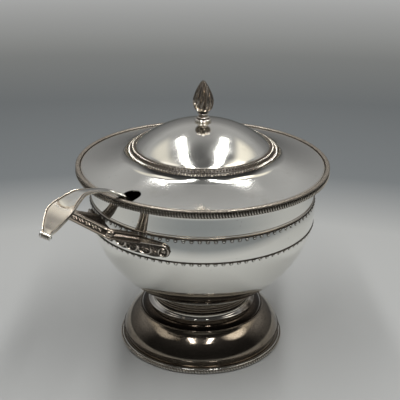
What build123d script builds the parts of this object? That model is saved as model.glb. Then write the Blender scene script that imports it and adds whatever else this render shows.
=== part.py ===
from build123d import *

import os
from math import asin, cos, degrees, pi, radians, sin, sqrt, tan

# Covered soup tureen in silver plate: footed bowl, lid with a ladle notch, and the ladle.
# Millimetres, +Z up. The origin is the centre of the foot's resting ring. The two handles lie
# on the X axis, and the ladle leaves through the lid's notch near -X.

# Sheet metal
WALL = 1.3
FIT_GAP = 0.3
SOLDER_LAP = 2.0

# Reeded neck, on which the bowl sits
NECK_RADIUS = 52.6
NECK_WALL = 2.6
NECK_HEIGHT = 9.56
NECK_MARGIN = 2.9
NECK_REED_RADIUS = 1.5
NECK_LOWER_REED = 3.2
NECK_UPPER_REED = 7.8

# Foot: each moulding is set off from the one above it, and each height from the one below
BASE_RING_WIDTH = 7.0
BASE_RING_HEIGHT = 5.4
BASE_RING_LAP = 0.4
BASE_RING_REACH = 5.5
GROOVE_DEPTH = 2.0
RIDGE_RISE = 8.0
RIDGE_BEVEL = 0.8
OVOLO_WIDTH = 19.0
OVOLO_RISE = 25.0
OVOLO_BULGE = 4.2
BAND_MOULDING_WIDTH = 9.5
BAND_MOULDING_RISE = 9.0
BAND_MOULDING_BULGE = 1.4
LEDGE_WIDTH = 4.0
LEDGE_RISE = 4.0
FOOT_HOLE_MARGIN = 4.0

# Bowl: a superellipse of revolution below its widest circle, a straight collar above it
BELLY_RADIUS = 121.2
BELLY_DEPTH = 111.0
BELLY_POWER = 1.88
BELLY_POINTS = 9
SHOULDER_TURN_HEIGHT = 14.0
BELLY_TOP_INSET = 1.0
COLLAR_STEP = 0.7
COLLAR_HEIGHT = 19.0
FLARE_HEIGHT = 12.5
FLANGE_REACH = 10.6
FLANGE_SEAT_WIDTH = 4.0

# Gadrooned border around the flange
RIM_BORDER_WIDTH = 4.8
RIM_BORDER_DROP = 4.0
RIM_BEAD_RISE = 4.8
RIM_SHOULDER_RISE = 2.7

# Scalloped bands laid on the bowl
BAND_THICKNESS = 0.6
BAND_WIDTH = 3.2
LOWER_BAND_DROP = 25.2

# Cast handles on the X axis
GRIP_STANDOFF = 39.5
GRIP_TILT = 24.0
GRIP_HALF_LENGTH = 36.0
GRIP_CORNER = 10.0
GRIP_BAR_WIDTH = 8.5
GRIP_ARM_WIDTH = 12.0
GRIP_ROOT_STANDOFF = 1.5
GRIP_ROOT_DROP = 10.0
GRIP_ROOT_DEPTH = 20.0
GRIP_HEIGHT = 9.0
GRIP_EDGE = 1.5
LEAF_SPACING = 3.0
LEAF_LENGTH = 62.5
LEAF_DROP = 23.5
LEAF_HEIGHT = 20.0
LEAF_THICKNESS = 3.4

# Lid
LID_EDGE_CLEARANCE = 0.6
LID_EDGE_RISE = 3.3
LID_EDGE_LIP = 2.4
BRIM_WIDTH = 47.5
BRIM_RISE = 9.6
BRIM_DIP = 1.6
SHOULDER_WIDTH = 12.0
SHOULDER_STEP = 2.4
SHOULDER_RISE = 10.5
DOME_RISE = 25.8

# Ornamental ring on the lid's shoulder
LID_BORDER_INSET = 1.4
LID_BORDER_BULGE = 2.4

# Locating ring under the lid
BEZEL_CLEARANCE = 1.6
BEZEL_WALL = 1.4
BEZEL_DEPTH = 9.0

# Notch for the ladle, turned from -X towards -Y
NOTCH_WIDTH = 18.0
NOTCH_LENGTH = 20.5
NOTCH_TURN = 10.5
NOTCH_SIDE_GAP = 0.77
BEZEL_GAP_MARGIN = 2.0

# Finial
STUD_RADIUS = 2.4
STUD_CLEARANCE = 0.15
STUD_LENGTH = 22.0
STUD_ENGAGEMENT = 8.0
DISC_RADIUS = 9.0
DISC_HEIGHT = 2.4
UPPER_DISC_INSET = 1.2
UPPER_DISC_HEIGHT = 2.6
DISC_GROOVE = 1.2
BUD_NECK_RADIUS = 3.15
BUD_NECK_HEIGHT = 3.4
BUD_RADIUS = 11.0
BUD_WIDEST = 12.0
BUD_LENGTH = 37.8
BUD_TIP_RADIUS = 0.8
WASHER_RADIUS = 7.0
WASHER_THICKNESS = 1.0
NUT_ACROSS_FLATS = 8.0
NUT_THICKNESS = 4.0

# Ladle: its stem runs straight up through the notch and then bends over the rim
LADLE_BOWL_RADIUS = 43.0
LADLE_BOWL_DEPTH = 30.0
LADLE_WALL = 1.2
LADLE_REST_GAP = 0.3
LADLE_THICKNESS = 3.4
LADLE_LAP = 0.6
SHIELD_LENGTH = 12.0
SHIELD_HALF_WIDTH = 8.5
SHIELD_TAPER = 17.0
SHIELD_FLARE = 0.6
STEM_HALF_WIDTH = 3.6
STEM_SLOPE = 60.2
STEM_SETBACK = 2.7
STEM_BEND_DROP = 6.3
BLADE_REACH = 112.0
BLADE_HALF_WIDTH = 15.2
TIP_CURL_RADIUS = 3.2
TIP_CURL_LENGTH = 11.0
TIP_DIRECTION = (1.0, -1.1)

# The ladle's bent upper part, as (reach, rise) from the top of the stem in shares of its reach
LADLE_BEND = [
    (0.079, 0.082),
    (0.174, 0.143),
    (0.329, 0.224),
    (0.567, 0.287),
    (0.692, 0.268),
    (0.837, 0.206),
    (0.924, 0.130),
    (1.0, 0.05),
]

# Outline of the blade, as (share of its reach, share of the blade's half width beyond the stem's)
BLADE_OUTLINE = [
    (0.09, 0.0),
    (0.27, 0.04),
    (0.43, 0.14),
    (0.59, 0.36),
    (0.70, 0.66),
    (0.837, 1.0),
    (0.924, 0.66),
    (1.018, 0.10),
]

# Radii and heights that follow from the sizes above, from the table upwards
foot_top_radius = NECK_RADIUS + NECK_MARGIN
ledge_radius = foot_top_radius + LEDGE_WIDTH
step_radius = ledge_radius + BAND_MOULDING_WIDTH
ridge_radius = step_radius + OVOLO_WIDTH
groove_radius = ridge_radius - GROOVE_DEPTH
base_radius = groove_radius + BASE_RING_REACH
groove_height = BASE_RING_HEIGHT - BASE_RING_LAP
ridge_height = BASE_RING_HEIGHT + RIDGE_RISE
step_height = ridge_height + OVOLO_RISE
ledge_height = step_height + BAND_MOULDING_RISE
foot_top_height = ledge_height + LEDGE_RISE
seat_depth = BELLY_DEPTH * (1 - (NECK_RADIUS / BELLY_RADIUS) ** BELLY_POWER) ** (1 / BELLY_POWER)
widest_height = foot_top_height + NECK_HEIGHT + seat_depth
collar_base = widest_height + SHOULDER_TURN_HEIGHT
flare_base = collar_base + COLLAR_HEIGHT
flange_height = flare_base + FLARE_HEIGHT
collar_radius = BELLY_RADIUS - BELLY_TOP_INSET - COLLAR_STEP
flange_radius = collar_radius + FLANGE_REACH
grip_root_radius = collar_radius + GRIP_ROOT_STANDOFF
grip_root_height = collar_base - GRIP_ROOT_DROP
grip_length = (GRIP_STANDOFF - GRIP_ROOT_STANDOFF) / cos(radians(GRIP_TILT))
lid_edge_radius = flange_radius - LID_EDGE_CLEARANCE
lid_edge_height = flange_height + LID_EDGE_RISE
shoulder_radius = lid_edge_radius - BRIM_WIDTH
shoulder_height = lid_edge_height + BRIM_RISE
dome_radius = shoulder_radius - SHOULDER_WIDTH
dome_base = shoulder_height + SHOULDER_RISE
dome_top = dome_base + DOME_RISE
dome_sphere = (dome_radius**2 + DOME_RISE**2) / (2 * DOME_RISE)
notch_end = lid_edge_radius - NOTCH_LENGTH
bud_base = dome_top + DISC_HEIGHT + DISC_GROOVE + UPPER_DISC_HEIGHT
stem_offset = NOTCH_WIDTH / 2 - STEM_HALF_WIDTH - NOTCH_SIDE_GAP
ladle_turn = NOTCH_TURN - degrees(asin(stem_offset / (notch_end + NOTCH_WIDTH / 2)))
stem_top = (collar_radius - WALL - STEM_SETBACK, flange_height - STEM_BEND_DROP)

CUTTER = 400.0


def turned(*edges):
    """Turns a closed outline, given as (radius, height) edges, about the Z axis."""
    outline = Curve() + list(edges)
    return revolve(Plane.XZ * make_face(outline), Axis.Z)


def polyline_ring(*points):
    """Turns a closed straight-sided outline about the Z axis."""
    return turned(Polyline(*points, close=True))


def facing_minus_x(shape, turn=0.0):
    """Turns a piece built along +X to face -X, and from there by an angle towards -Y."""
    return Rot(0, 0, 180 + turn) * shape


def belly_point(turn, extra=0.0):
    """A point of the bowl's outline: 0 degrees is the widest circle, 90 the bottom."""
    radius = (BELLY_RADIUS + extra) * cos(radians(turn)) ** (2 / BELLY_POWER)
    drop = (BELLY_DEPTH + extra) * sin(radians(turn)) ** (2 / BELLY_POWER)
    return radius, widest_height - drop


def belly_curve(extra=0.0):
    """The bowl's outline from its bottom up to its widest circle, offset outwards by extra."""
    turns = [90 * step / (BELLY_POINTS - 1) for step in range(1, BELLY_POINTS - 1)]
    inner = [belly_point(turn, extra) for turn in reversed(turns)]
    bottom = (0, widest_height - BELLY_DEPTH - extra)
    widest = (BELLY_RADIUS + extra, widest_height)
    return Spline(bottom, *inner, widest, tangents=[(1, 0), (0, 1)])


def belly_solid(extra=0.0):
    """The filled bowl below the collar, offset outwards by extra."""
    bottom = widest_height - BELLY_DEPTH - extra
    widest = (BELLY_RADIUS + extra, widest_height)
    top = (BELLY_RADIUS + extra - BELLY_TOP_INSET, collar_base)
    between = (widest[0] - BELLY_TOP_INSET / 4, (widest_height + collar_base) / 2)
    return turned(
        belly_curve(extra),
        ThreePointArc(widest, between, top),
        Line(top, (0, collar_base)),
        Line((0, collar_base), (0, bottom)),
    )


def collar_solid(inset, height):
    """The filled collar and flared flange, with its wall set in by inset and its top at height."""
    radius = collar_radius - inset
    seat = flange_radius - FLANGE_SEAT_WIDTH
    flare_middle = (
        seat - (seat - radius) * cos(pi / 4),
        flare_base + (height - flare_base) * sin(pi / 4),
    )
    flare = Spline(
        (radius, flare_base), flare_middle, (seat, height), tangents=[(0, 1), (1, 0)]
    )
    return turned(
        Line((0, collar_base), (radius, collar_base)),
        Line((radius, collar_base), (radius, flare_base)),
        flare,
        Line((seat, height), (flange_radius, height)),
        Line((flange_radius, height), (flange_radius, height + WALL)),
        Line((flange_radius, height + WALL), (0, height + WALL)),
        Line((0, height + WALL), (0, collar_base)),
    )


def make_bowl_shell():
    outside = belly_solid() + collar_solid(0, flange_height - WALL)
    inside = belly_solid(-WALL) + collar_solid(WALL, flange_height)
    return outside - inside


def make_rim_border():
    inner = flange_radius
    outer = inner + RIM_BORDER_WIDTH
    base = flange_height - RIM_BORDER_DROP
    shoulder = flange_height + RIM_SHOULDER_RISE
    edge = outer - RIM_BORDER_WIDTH / 4
    toe = inner + RIM_BORDER_WIDTH / 4
    gadroon = ThreePointArc((toe, base), (outer, (base + shoulder) / 2), (edge, shoulder))
    bead = ThreePointArc(
        (edge, shoulder), ((inner + edge) / 2, flange_height + RIM_BEAD_RISE), (inner, shoulder)
    )
    return turned(gadroon, bead, Line((inner, shoulder), (inner, base)), Line((inner, base), (toe, base)))


def make_band(height):
    """A thin strip that follows the bowl just below the given height."""
    skin = belly_solid(BAND_THICKNESS) - belly_solid()
    slab = Pos(0, 0, height - BAND_WIDTH / 2) * Cylinder(2 * BELLY_RADIUS, BAND_WIDTH)
    return skin & slab


def foot_outline(shift):
    """The foot's moulded outline from the groove to its top, moved in and down by shift."""

    def at(radius, height):
        return radius - shift, height - shift

    def bulged(start, end, bulge):
        run = (end[0] - start[0], end[1] - start[1])
        length = sqrt(run[0] ** 2 + run[1] ** 2)
        middle = ((start[0] + end[0]) / 2, (start[1] + end[1]) / 2)
        crown = (middle[0] + bulge * run[1] / length, middle[1] - bulge * run[0] / length)
        return ThreePointArc(start, crown, end)

    groove = at(groove_radius, ridge_height - RIDGE_BEVEL)
    ridge = at(ridge_radius, ridge_height)
    step = at(step_radius, step_height)
    step_back = at(step_radius - WALL, step_height + WALL)
    ledge = at(ledge_radius, ledge_height)
    top = at(foot_top_radius, foot_top_height)
    foot = (groove[0], groove_height)
    return turned(
        Line((0, groove_height), foot),
        Line(foot, groove),
        Line(groove, ridge),
        bulged(ridge, step, OVOLO_BULGE),
        Line(step, step_back),
        bulged(step_back, ledge, BAND_MOULDING_BULGE),
        Line(ledge, top),
        Line(top, (0, top[1])),
        Line((0, top[1]), (0, groove_height)),
    )


def make_foot_shell():
    hollow = foot_outline(WALL) & Cylinder(groove_radius - WALL, CUTTER)
    return foot_outline(0) - hollow - Cylinder(NECK_RADIUS - NECK_WALL - FOOT_HOLE_MARGIN, CUTTER)


def make_foot_border():
    """The gadrooned ring that the foot stands on."""
    inner = base_radius - BASE_RING_WIDTH
    flat = base_radius - BASE_RING_WIDTH / 3
    crown = (base_radius, BASE_RING_HEIGHT / 2)
    ring = turned(
        Line((inner, 0), (flat, 0)),
        ThreePointArc((flat, 0), crown, (flat, BASE_RING_HEIGHT)),
        Line((flat, BASE_RING_HEIGHT), (inner, BASE_RING_HEIGHT)),
        Line((inner, BASE_RING_HEIGHT), (inner, 0)),
    )
    return ring - make_foot_shell()


def make_foot_neck():
    """A reeded collar, cut to the bowl's underside."""
    top = foot_top_height + 2 * NECK_HEIGHT
    ring = polyline_ring(
        (NECK_RADIUS - NECK_WALL, foot_top_height),
        (NECK_RADIUS, foot_top_height),
        (NECK_RADIUS, top),
        (NECK_RADIUS - NECK_WALL, top),
    )
    for height in (NECK_LOWER_REED, NECK_UPPER_REED):
        ring += Pos(0, 0, foot_top_height + height) * Torus(NECK_RADIUS, NECK_REED_RADIUS)
    return ring - belly_solid()


def make_grip():
    """The grip bar and its two arms, as a rounded shelf with a finger slot through it.

    It lies along +X from the arms' roots and is then tilted up, so the bar stands highest.
    """
    depth = grip_length + GRIP_ROOT_DEPTH
    shelf = Pos(grip_length - depth / 2, 0, GRIP_HEIGHT / 2) * Box(depth, 2 * GRIP_HALF_LENGTH, GRIP_HEIGHT)
    shelf = fillet(shelf.edges().filter_by(Axis.Z).group_by(Axis.X)[-1], GRIP_CORNER)
    top = shelf.faces().sort_by(Axis.Z)[-1]
    shelf = fillet(top.edges().filter_by(Axis.X, reverse=True).group_by(Axis.X)[1:], GRIP_EDGE)
    slot_end = grip_length - GRIP_BAR_WIDTH
    slot_half = GRIP_HALF_LENGTH - GRIP_ARM_WIDTH
    slot = Pos(slot_end - depth / 2, 0, 0) * Box(depth, 2 * slot_half, 4 * GRIP_HEIGHT)
    slot = fillet(slot.edges().filter_by(Axis.Z).group_by(Axis.X)[-1], GRIP_CORNER - GRIP_BAR_WIDTH)
    return Pos(grip_root_radius, 0, grip_root_height) * Rot(0, -GRIP_TILT, 0) * (shelf - slot)


def make_handle():
    """A cast handle on the +X side: a rising grip bar on two arms, and two leaves on the bowl."""
    handle = make_grip()
    leaf_middle = (LEAF_SPACING + LEAF_LENGTH) / 2
    leaf_height = collar_base - LEAF_DROP + LEAF_HEIGHT / 2
    for side in (-1, 1):
        outline = Pos(side * leaf_middle, leaf_height) * SlotOverall(LEAF_LENGTH, LEAF_HEIGHT)
        leaf = extrude(Plane.YZ * outline, BELLY_RADIUS + LEAF_THICKNESS)
        handle += leaf & belly_solid(LEAF_THICKNESS)
    return handle - belly_solid() - Cylinder(collar_radius, CUTTER) - make_band(collar_base)


def lid_solid(drop):
    """The filled lid below its outer surface, lowered by drop."""
    half_turn = 0.5 * dome_radius / dome_sphere
    dome_middle = (dome_sphere * sin(half_turn), dome_top - dome_sphere * (1 - cos(half_turn)) - drop)
    edge = (lid_edge_radius, lid_edge_height - drop)
    shoulder = (shoulder_radius, shoulder_height - drop)
    brim_middle = ((edge[0] + shoulder[0]) / 2, (edge[1] + shoulder[1]) / 2 - BRIM_DIP)
    raised = (shoulder_radius - LID_BORDER_INSET, shoulder_height + SHOULDER_STEP - drop)
    dome_edge = (dome_radius, dome_base - drop)
    base = flange_height + FIT_GAP
    return turned(
        Line((0, base), (edge[0], base)),
        Line((edge[0], base), edge),
        ThreePointArc(edge, brim_middle, shoulder),
        Line(shoulder, raised),
        Line(raised, dome_edge),
        ThreePointArc(dome_edge, dome_middle, (0, dome_top - drop)),
        Line((0, dome_top - drop), (0, base)),
    )


def notch_cutter(width, end):
    """A slot open at the lid's edge, with a round end at the given radius."""
    half = width / 2
    length = flange_radius + RIM_BORDER_WIDTH - end - half
    slot = Pos(end + half + length / 2, 0, CUTTER / 2) * Box(length, width, CUTTER)
    slot += Pos(end + half, 0, CUTTER / 2) * Cylinder(half, CUTTER)
    return facing_minus_x(slot, NOTCH_TURN)


def make_lid_shell():
    hollow = lid_solid(WALL) & Cylinder(lid_edge_radius - LID_EDGE_LIP, 2 * CUTTER)
    stud_hole = Cylinder(STUD_RADIUS + STUD_CLEARANCE, 2 * CUTTER)
    return lid_solid(0) - hollow - notch_cutter(NOTCH_WIDTH, notch_end) - stud_hole


def make_lid_bezel():
    """The locating ring that drops inside the bowl's collar, open at the notch."""
    outer = collar_radius - WALL - BEZEL_CLEARANCE
    base = flange_height - BEZEL_DEPTH
    ring = polyline_ring(
        (outer - BEZEL_WALL, base),
        (outer, base),
        (outer, lid_edge_height + SHOULDER_STEP),
        (outer - BEZEL_WALL, lid_edge_height + SHOULDER_STEP),
    )
    below_lid = lid_solid(WALL) + Cylinder(lid_edge_radius, 2 * (flange_height + FIT_GAP))
    gap = notch_cutter(NOTCH_WIDTH + 2 * BEZEL_GAP_MARGIN, notch_end - 2 * BEZEL_GAP_MARGIN)
    return (ring & below_lid) - gap


def make_lid_border():
    """A raised ring that lies on the slope between the lid's shoulder and its dome."""
    outer = (shoulder_radius - LID_BORDER_INSET, shoulder_height + SHOULDER_STEP)
    slope = (dome_base - outer[1]) / (outer[0] - dome_radius)
    inner = (dome_radius + LID_BORDER_INSET, dome_base - LID_BORDER_INSET * slope)
    run = (inner[0] - outer[0], inner[1] - outer[1])
    length = sqrt(run[0] ** 2 + run[1] ** 2)
    crown = (
        (outer[0] + inner[0]) / 2 + LID_BORDER_BULGE * run[1] / length,
        (outer[1] + inner[1]) / 2 - LID_BORDER_BULGE * run[0] / length,
    )
    return turned(ThreePointArc(outer, crown, inner), Line(inner, outer))


def disc_base_height():
    """Height at which the finial's lower disc meets the dome."""
    return dome_top - DISC_RADIUS**2 / (2 * dome_sphere)


def make_finial_base():
    """Two turned discs with a groove between them, cut to the dome below."""
    upper_radius = DISC_RADIUS - UPPER_DISC_INSET
    base = disc_base_height() - SOLDER_LAP
    groove = dome_top + DISC_HEIGHT
    upper = groove + DISC_GROOVE
    top = bud_base
    discs = polyline_ring(
        (0, base),
        (DISC_RADIUS, base),
        (DISC_RADIUS, groove - DISC_GROOVE / 2),
        (DISC_RADIUS - DISC_GROOVE, groove),
        (upper_radius - DISC_GROOVE, groove),
        (upper_radius - DISC_GROOVE, upper),
        (upper_radius, upper),
        (upper_radius, top - DISC_GROOVE),
        (upper_radius - DISC_GROOVE, top),
        (0, top),
    )
    return discs - lid_solid(0) - Cylinder(STUD_RADIUS, 2 * CUTTER)


def make_finial_bud():
    """A pointed leaf bud on a short neck."""
    base = bud_base
    neck = base + BUD_NECK_HEIGHT
    widest = neck + BUD_WIDEST
    tip = base + BUD_LENGTH
    lower = Spline(
        (BUD_NECK_RADIUS, neck), (BUD_RADIUS, widest), tangents=[(1, 0), (0, 1)]
    )
    upper = Spline(
        (BUD_RADIUS, widest),
        (BUD_TIP_RADIUS, tip),
        tangents=[(0, 1), (-BUD_RADIUS, tip - widest)],
    )
    bud = turned(
        Line((0, base), (BUD_NECK_RADIUS, base)),
        Line((BUD_NECK_RADIUS, base), (BUD_NECK_RADIUS, neck)),
        lower,
        upper,
        Line((BUD_TIP_RADIUS, tip), (0, tip)),
        Line((0, tip), (0, base)),
    )
    return bud - make_finial_stud()


def washer_top():
    return dome_top - WALL - WASHER_RADIUS**2 / (2 * dome_sphere) - STUD_CLEARANCE


def make_finial_stud():
    top = bud_base + STUD_ENGAGEMENT
    return Pos(0, 0, top - STUD_LENGTH / 2) * Cylinder(STUD_RADIUS, STUD_LENGTH)


def make_finial_washer():
    ring = Cylinder(WASHER_RADIUS, WASHER_THICKNESS)
    ring -= Cylinder(STUD_RADIUS + STUD_CLEARANCE, 2 * WASHER_THICKNESS)
    return Pos(0, 0, washer_top() - WASHER_THICKNESS / 2) * ring


def make_finial_nut():
    hexagon = RegularPolygon(NUT_ACROSS_FLATS / 2, 6, major_radius=False)
    nut = extrude(hexagon, NUT_THICKNESS) - Cylinder(STUD_RADIUS, 4 * NUT_THICKNESS)
    return Pos(0, 0, washer_top() - WASHER_THICKNESS - NUT_THICKNESS) * nut


def stem_reach(height):
    """Reach of the straight stem's centre line at a height."""
    reach, top = stem_top
    return reach - (top - height) / tan(radians(STEM_SLOPE))


def ladle_base_height():
    return widest_height - BELLY_DEPTH + WALL + LADLE_REST_GAP


def ladle_rim_height():
    return ladle_base_height() + LADLE_BOWL_DEPTH


def ladle_centre():
    """Reach of the ladle bowl's own axis, which puts the stem against its outside."""
    lean = LADLE_THICKNESS / 2 / sin(radians(STEM_SLOPE))
    return stem_reach(ladle_rim_height()) - lean + LADLE_LAP - LADLE_BOWL_RADIUS


def ladle_bowl_solid(inset):
    """The filled ladle bowl, a cap of a sphere, with its outside set in by inset."""
    sphere = (LADLE_BOWL_RADIUS**2 + LADLE_BOWL_DEPTH**2) / (2 * LADLE_BOWL_DEPTH)
    ball = Pos(0, 0, ladle_base_height() + sphere) * Sphere(sphere - inset)
    below_rim = Pos(0, 0, ladle_rim_height() / 2) * Cylinder(2 * sphere, ladle_rim_height())
    return Pos(ladle_centre(), 0, 0) * (ball & below_rim)


def make_ladle_bowl():
    shell = ladle_bowl_solid(0) - ladle_bowl_solid(LADLE_WALL)
    return facing_minus_x(shell, ladle_turn)


def handle_plan():
    """The ladle handle's outline from above."""
    reach = stem_top[0]
    foot = stem_reach(ladle_rim_height() - SHIELD_LENGTH) - reach
    flare = BLADE_HALF_WIDTH - STEM_HALF_WIDTH
    widths = [
        (foot - LADLE_THICKNESS, SHIELD_HALF_WIDTH),
        (foot + SHIELD_TAPER, STEM_HALF_WIDTH + SHIELD_FLARE),
        ((foot + SHIELD_TAPER) / 2, STEM_HALF_WIDTH),
    ]
    widths += [(BLADE_REACH * along, STEM_HALF_WIDTH + flare * half) for along, half in BLADE_OUTLINE]
    side = Spline(*[(reach + offset, half) for offset, half in widths])
    other = mirror(side, Plane.XZ)
    ends = [Line(side @ 0, other @ 0), Line(side @ 1, other @ 1)]
    return make_face(Curve() + [side, other, *ends])


def make_ladle_handle():
    """A flat bar swept along the stem and over the bend, cut to its outline and to the bowl."""
    reach, height = stem_top
    foot_height = ladle_rim_height() - SHIELD_LENGTH
    foot = (stem_reach(foot_height), foot_height)
    slope = (cos(radians(STEM_SLOPE)), sin(radians(STEM_SLOPE)))
    bend = [(reach + BLADE_REACH * step, height + BLADE_REACH * rise) for step, rise in LADLE_BEND]
    route = Plane.XZ * (
        Curve() + [Line(foot, stem_top), Spline(stem_top, *bend, tangents=[slope, TIP_DIRECTION])]
    )
    across = Plane(route @ 0, x_dir=(0, 1, 0), z_dir=route % 0)
    section = across * Rectangle(3 * BLADE_HALF_WIDTH, LADLE_THICKNESS)
    bar = sweep(section, route) & extrude(handle_plan(), CUTTER)
    tip = Plane.XZ * (Pos(*bend[-1]) * Circle(TIP_CURL_RADIUS))
    curl = extrude(tip, TIP_CURL_LENGTH / 2, both=True)
    handle = bar + curl - ladle_bowl_solid(0)
    return facing_minus_x(handle, ladle_turn)


def main():
    handle = make_handle()
    nodes = {
        "bowl_shell": make_bowl_shell(),
        "rim_border": make_rim_border(),
        "upper_band": make_band(collar_base),
        "lower_band": make_band(collar_base - LOWER_BAND_DROP),
        "handle_right": handle,
        "handle_left": facing_minus_x(handle),
        "foot_neck": make_foot_neck(),
        "foot_shell": make_foot_shell(),
        "foot_border": make_foot_border(),
        "lid_shell": make_lid_shell(),
        "lid_bezel": make_lid_bezel(),
        "lid_border": make_lid_border(),
        "finial_base": make_finial_base(),
        "finial_bud": make_finial_bud(),
        "finial_stud": make_finial_stud(),
        "finial_washer": make_finial_washer(),
        "finial_nut": make_finial_nut(),
        "ladle_bowl": make_ladle_bowl(),
        "ladle_handle": make_ladle_handle(),
    }
    os.makedirs("parts", exist_ok=True)
    for name, shape in nodes.items():
        export_step(shape, f"parts/{name}.step")


main()
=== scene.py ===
from math import acos, cos, degrees, hypot, pi, radians, sin, sqrt, tan

import bmesh
import bpy
from mathutils import Matrix, Vector


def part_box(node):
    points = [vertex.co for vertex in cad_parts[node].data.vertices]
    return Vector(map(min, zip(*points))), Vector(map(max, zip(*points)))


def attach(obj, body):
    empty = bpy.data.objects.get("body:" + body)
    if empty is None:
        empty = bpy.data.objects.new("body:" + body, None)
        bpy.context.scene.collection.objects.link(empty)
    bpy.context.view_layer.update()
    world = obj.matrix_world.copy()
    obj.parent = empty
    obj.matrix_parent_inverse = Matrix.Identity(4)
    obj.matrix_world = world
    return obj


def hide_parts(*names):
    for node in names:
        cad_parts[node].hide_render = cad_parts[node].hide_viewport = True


# A covered soup tureen in silver plate: the dressed pieces, their finishes and a small studio.
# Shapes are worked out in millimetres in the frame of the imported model, +Z up, and each piece
# is scaled to metres when it is finished.

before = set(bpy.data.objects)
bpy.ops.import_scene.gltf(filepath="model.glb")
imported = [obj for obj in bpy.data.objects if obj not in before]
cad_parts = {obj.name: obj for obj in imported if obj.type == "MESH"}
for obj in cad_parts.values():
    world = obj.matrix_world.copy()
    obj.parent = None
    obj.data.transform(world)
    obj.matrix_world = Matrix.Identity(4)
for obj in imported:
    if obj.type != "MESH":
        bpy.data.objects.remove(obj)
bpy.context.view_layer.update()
MM = 0.001
VIEW_TURN = -44.0


def cad(node):
    """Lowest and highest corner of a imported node, in millimetres."""
    low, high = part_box(node)
    return low / MM, high / MM


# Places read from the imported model
bowl_low, bowl_high = cad("bowl_shell")
rim_low, rim_high = cad("rim_border")
upper_top, lower_top = (cad(node)[1].z for node in ("upper_band", "lower_band"))
grip_reach = cad("handle_right")[1].x
neck_low, neck_high = cad("foot_neck")
foot_low, foot_high = cad("foot_shell")
base_high = cad("foot_border")[1]
lid_low, lid_high = cad("lid_shell")
ring_low, ring_high = cad("lid_border")
disc_low, disc_high = cad("finial_base")
bud_low, bud_high = cad("finial_bud")

# Sheet metal, turning and joining
WALL = 1.3
TURN_STEPS = 288
MERGE_DISTANCE = 1e-3

OUTWARD = Vector((1, 0, 0))
ACROSS = Vector((0, 1, 0))
UP = Vector((0, 0, 1))

# Bowl outline
BELLY_DEPTH = 111.0
BELLY_RADIUS = 121.2
BELLY_POWER = 1.88
BELLY_TOP_INSET = 1.0
COLLAR_RADIUS = 119.5
FLARE_HEIGHT = 12.5
FLANGE_SEAT = 4.0
EDGE_LINE_RADIUS = 0.35
EDGE_LINE_RISE = 2.2
# Step by which the painted shadow deepens up the flare's underside
FLARE_SHADE_STEP = 0.09

widest_height = bowl_low.z + BELLY_DEPTH
collar_base = upper_top
flange_height = bowl_high.z
flare_base = flange_height - FLARE_HEIGHT
flange_radius = bowl_high.x


# ---- outlines


def shares(count):
    """Even shares of a run cut into count parts, from 0 to 1."""
    return [step / count for step in range(count + 1)]


def turns(count):
    """Evenly spaced angles of a full turn."""
    return [2 * pi * number / count for number in range(count)]


def polar(radius, angle, height=0.0):
    """A place at a radius and an angle about the Z axis."""
    return Vector((radius * cos(angle), radius * sin(angle), height))


def arc(centre, radius, start, end, count):
    """Points of an arc; start and end are angles in degrees, radius a number or (across, up)."""
    across, up = radius if isinstance(radius, tuple) else (radius, radius)
    angles = [radians(start + (end - start) * share) for share in shares(count)]
    return [(centre[0] + across * cos(angle), centre[1] + up * sin(angle)) for angle in angles]


def bow(start, end, bulge, count):
    """Points of a shallow arc from start to end; a positive bulge lies right of the run."""
    (x, z), across, up = start, end[0] - start[0], end[1] - start[1]
    length = hypot(across, up)
    points = []
    for share in shares(count):
        push = bulge * 4 * share * (1 - share) / length
        points.append((x + across * share + up * push, z + up * share - across * push))
    return points


def belly_radius(height):
    """Outside radius of the bowl at a height."""
    if height >= collar_base:
        return COLLAR_RADIUS
    if height >= widest_height:
        share = (height - widest_height) / (collar_base - widest_height)
        return BELLY_RADIUS - BELLY_TOP_INSET * share**2
    drop = (widest_height - height) / BELLY_DEPTH
    return BELLY_RADIUS * (1 - drop**BELLY_POWER) ** (1 / BELLY_POWER)


def belly_outline(inset, count):
    """The bowl's outline from the bottom to the collar, set in by inset."""
    points = []
    for share in shares(count):
        turn = radians(90 * (1 - share))
        radius = (BELLY_RADIUS - inset) * cos(turn) ** (2 / BELLY_POWER)
        drop = (BELLY_DEPTH - inset) * sin(turn) ** (2 / BELLY_POWER)
        points.append((max(radius, 0.0), widest_height - drop))
    for share in (0.25, 0.5, 0.75, 1.0):
        height = widest_height + (collar_base - widest_height) * share
        points.append((BELLY_RADIUS - inset - BELLY_TOP_INSET * share**2, height))
    return points


def shaded(points, tarnish_and_shade):
    """Outline points with one value of darkening: patina together with painted shade."""
    return [(*point, tarnish_and_shade) for point in points]


def closed(outline):
    """An outline that returns to its first point."""
    return [*outline, outline[0]]


# ---- mesh helpers


def new_mesh():
    """An empty bmesh with the two layers that the finishes read: a darkening that holds patina together with
    painted shade in recesses and under edges, and worn plate.
    """
    bm = bmesh.new()
    bm.verts.layers.float.new("tarnish_and_shade")
    bm.verts.layers.float.new("worn")
    return bm


def linked(verts):
    """Vertices together with the edges and faces that hang on them."""
    edges = {edge for vert in verts for edge in vert.link_edges}
    faces = {face for vert in verts for face in vert.link_faces}
    return [*verts, *edges, *faces]


def lathe(bm, outline, steps=TURN_STEPS):
    """Turns an outline about the Z axis. A point is (radius, height) or (radius, height, darkening), the
    darkening being patina together with painted shade.
    """
    layer = bm.verts.layers.float["tarnish_and_shade"]
    verts = []
    for point in outline:
        vert = bm.verts.new((point[0], 0, point[1]))
        vert[layer] = point[2] if len(point) > 2 else 0.0
        verts.append(vert)
    edges = [bm.edges.new(pair) for pair in zip(verts, verts[1:])]
    bmesh.ops.spin(bm, geom=verts + edges, axis=UP, angle=2 * pi, steps=steps, use_merge=True)


def around_axis(bm, motif, count):
    """Repeats a motif evenly about the Z axis."""
    angle = 2 * pi * (count - 1) / count
    bmesh.ops.spin(bm, geom=linked(motif), axis=UP, angle=angle, steps=count - 1, use_duplicate=True)


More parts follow.
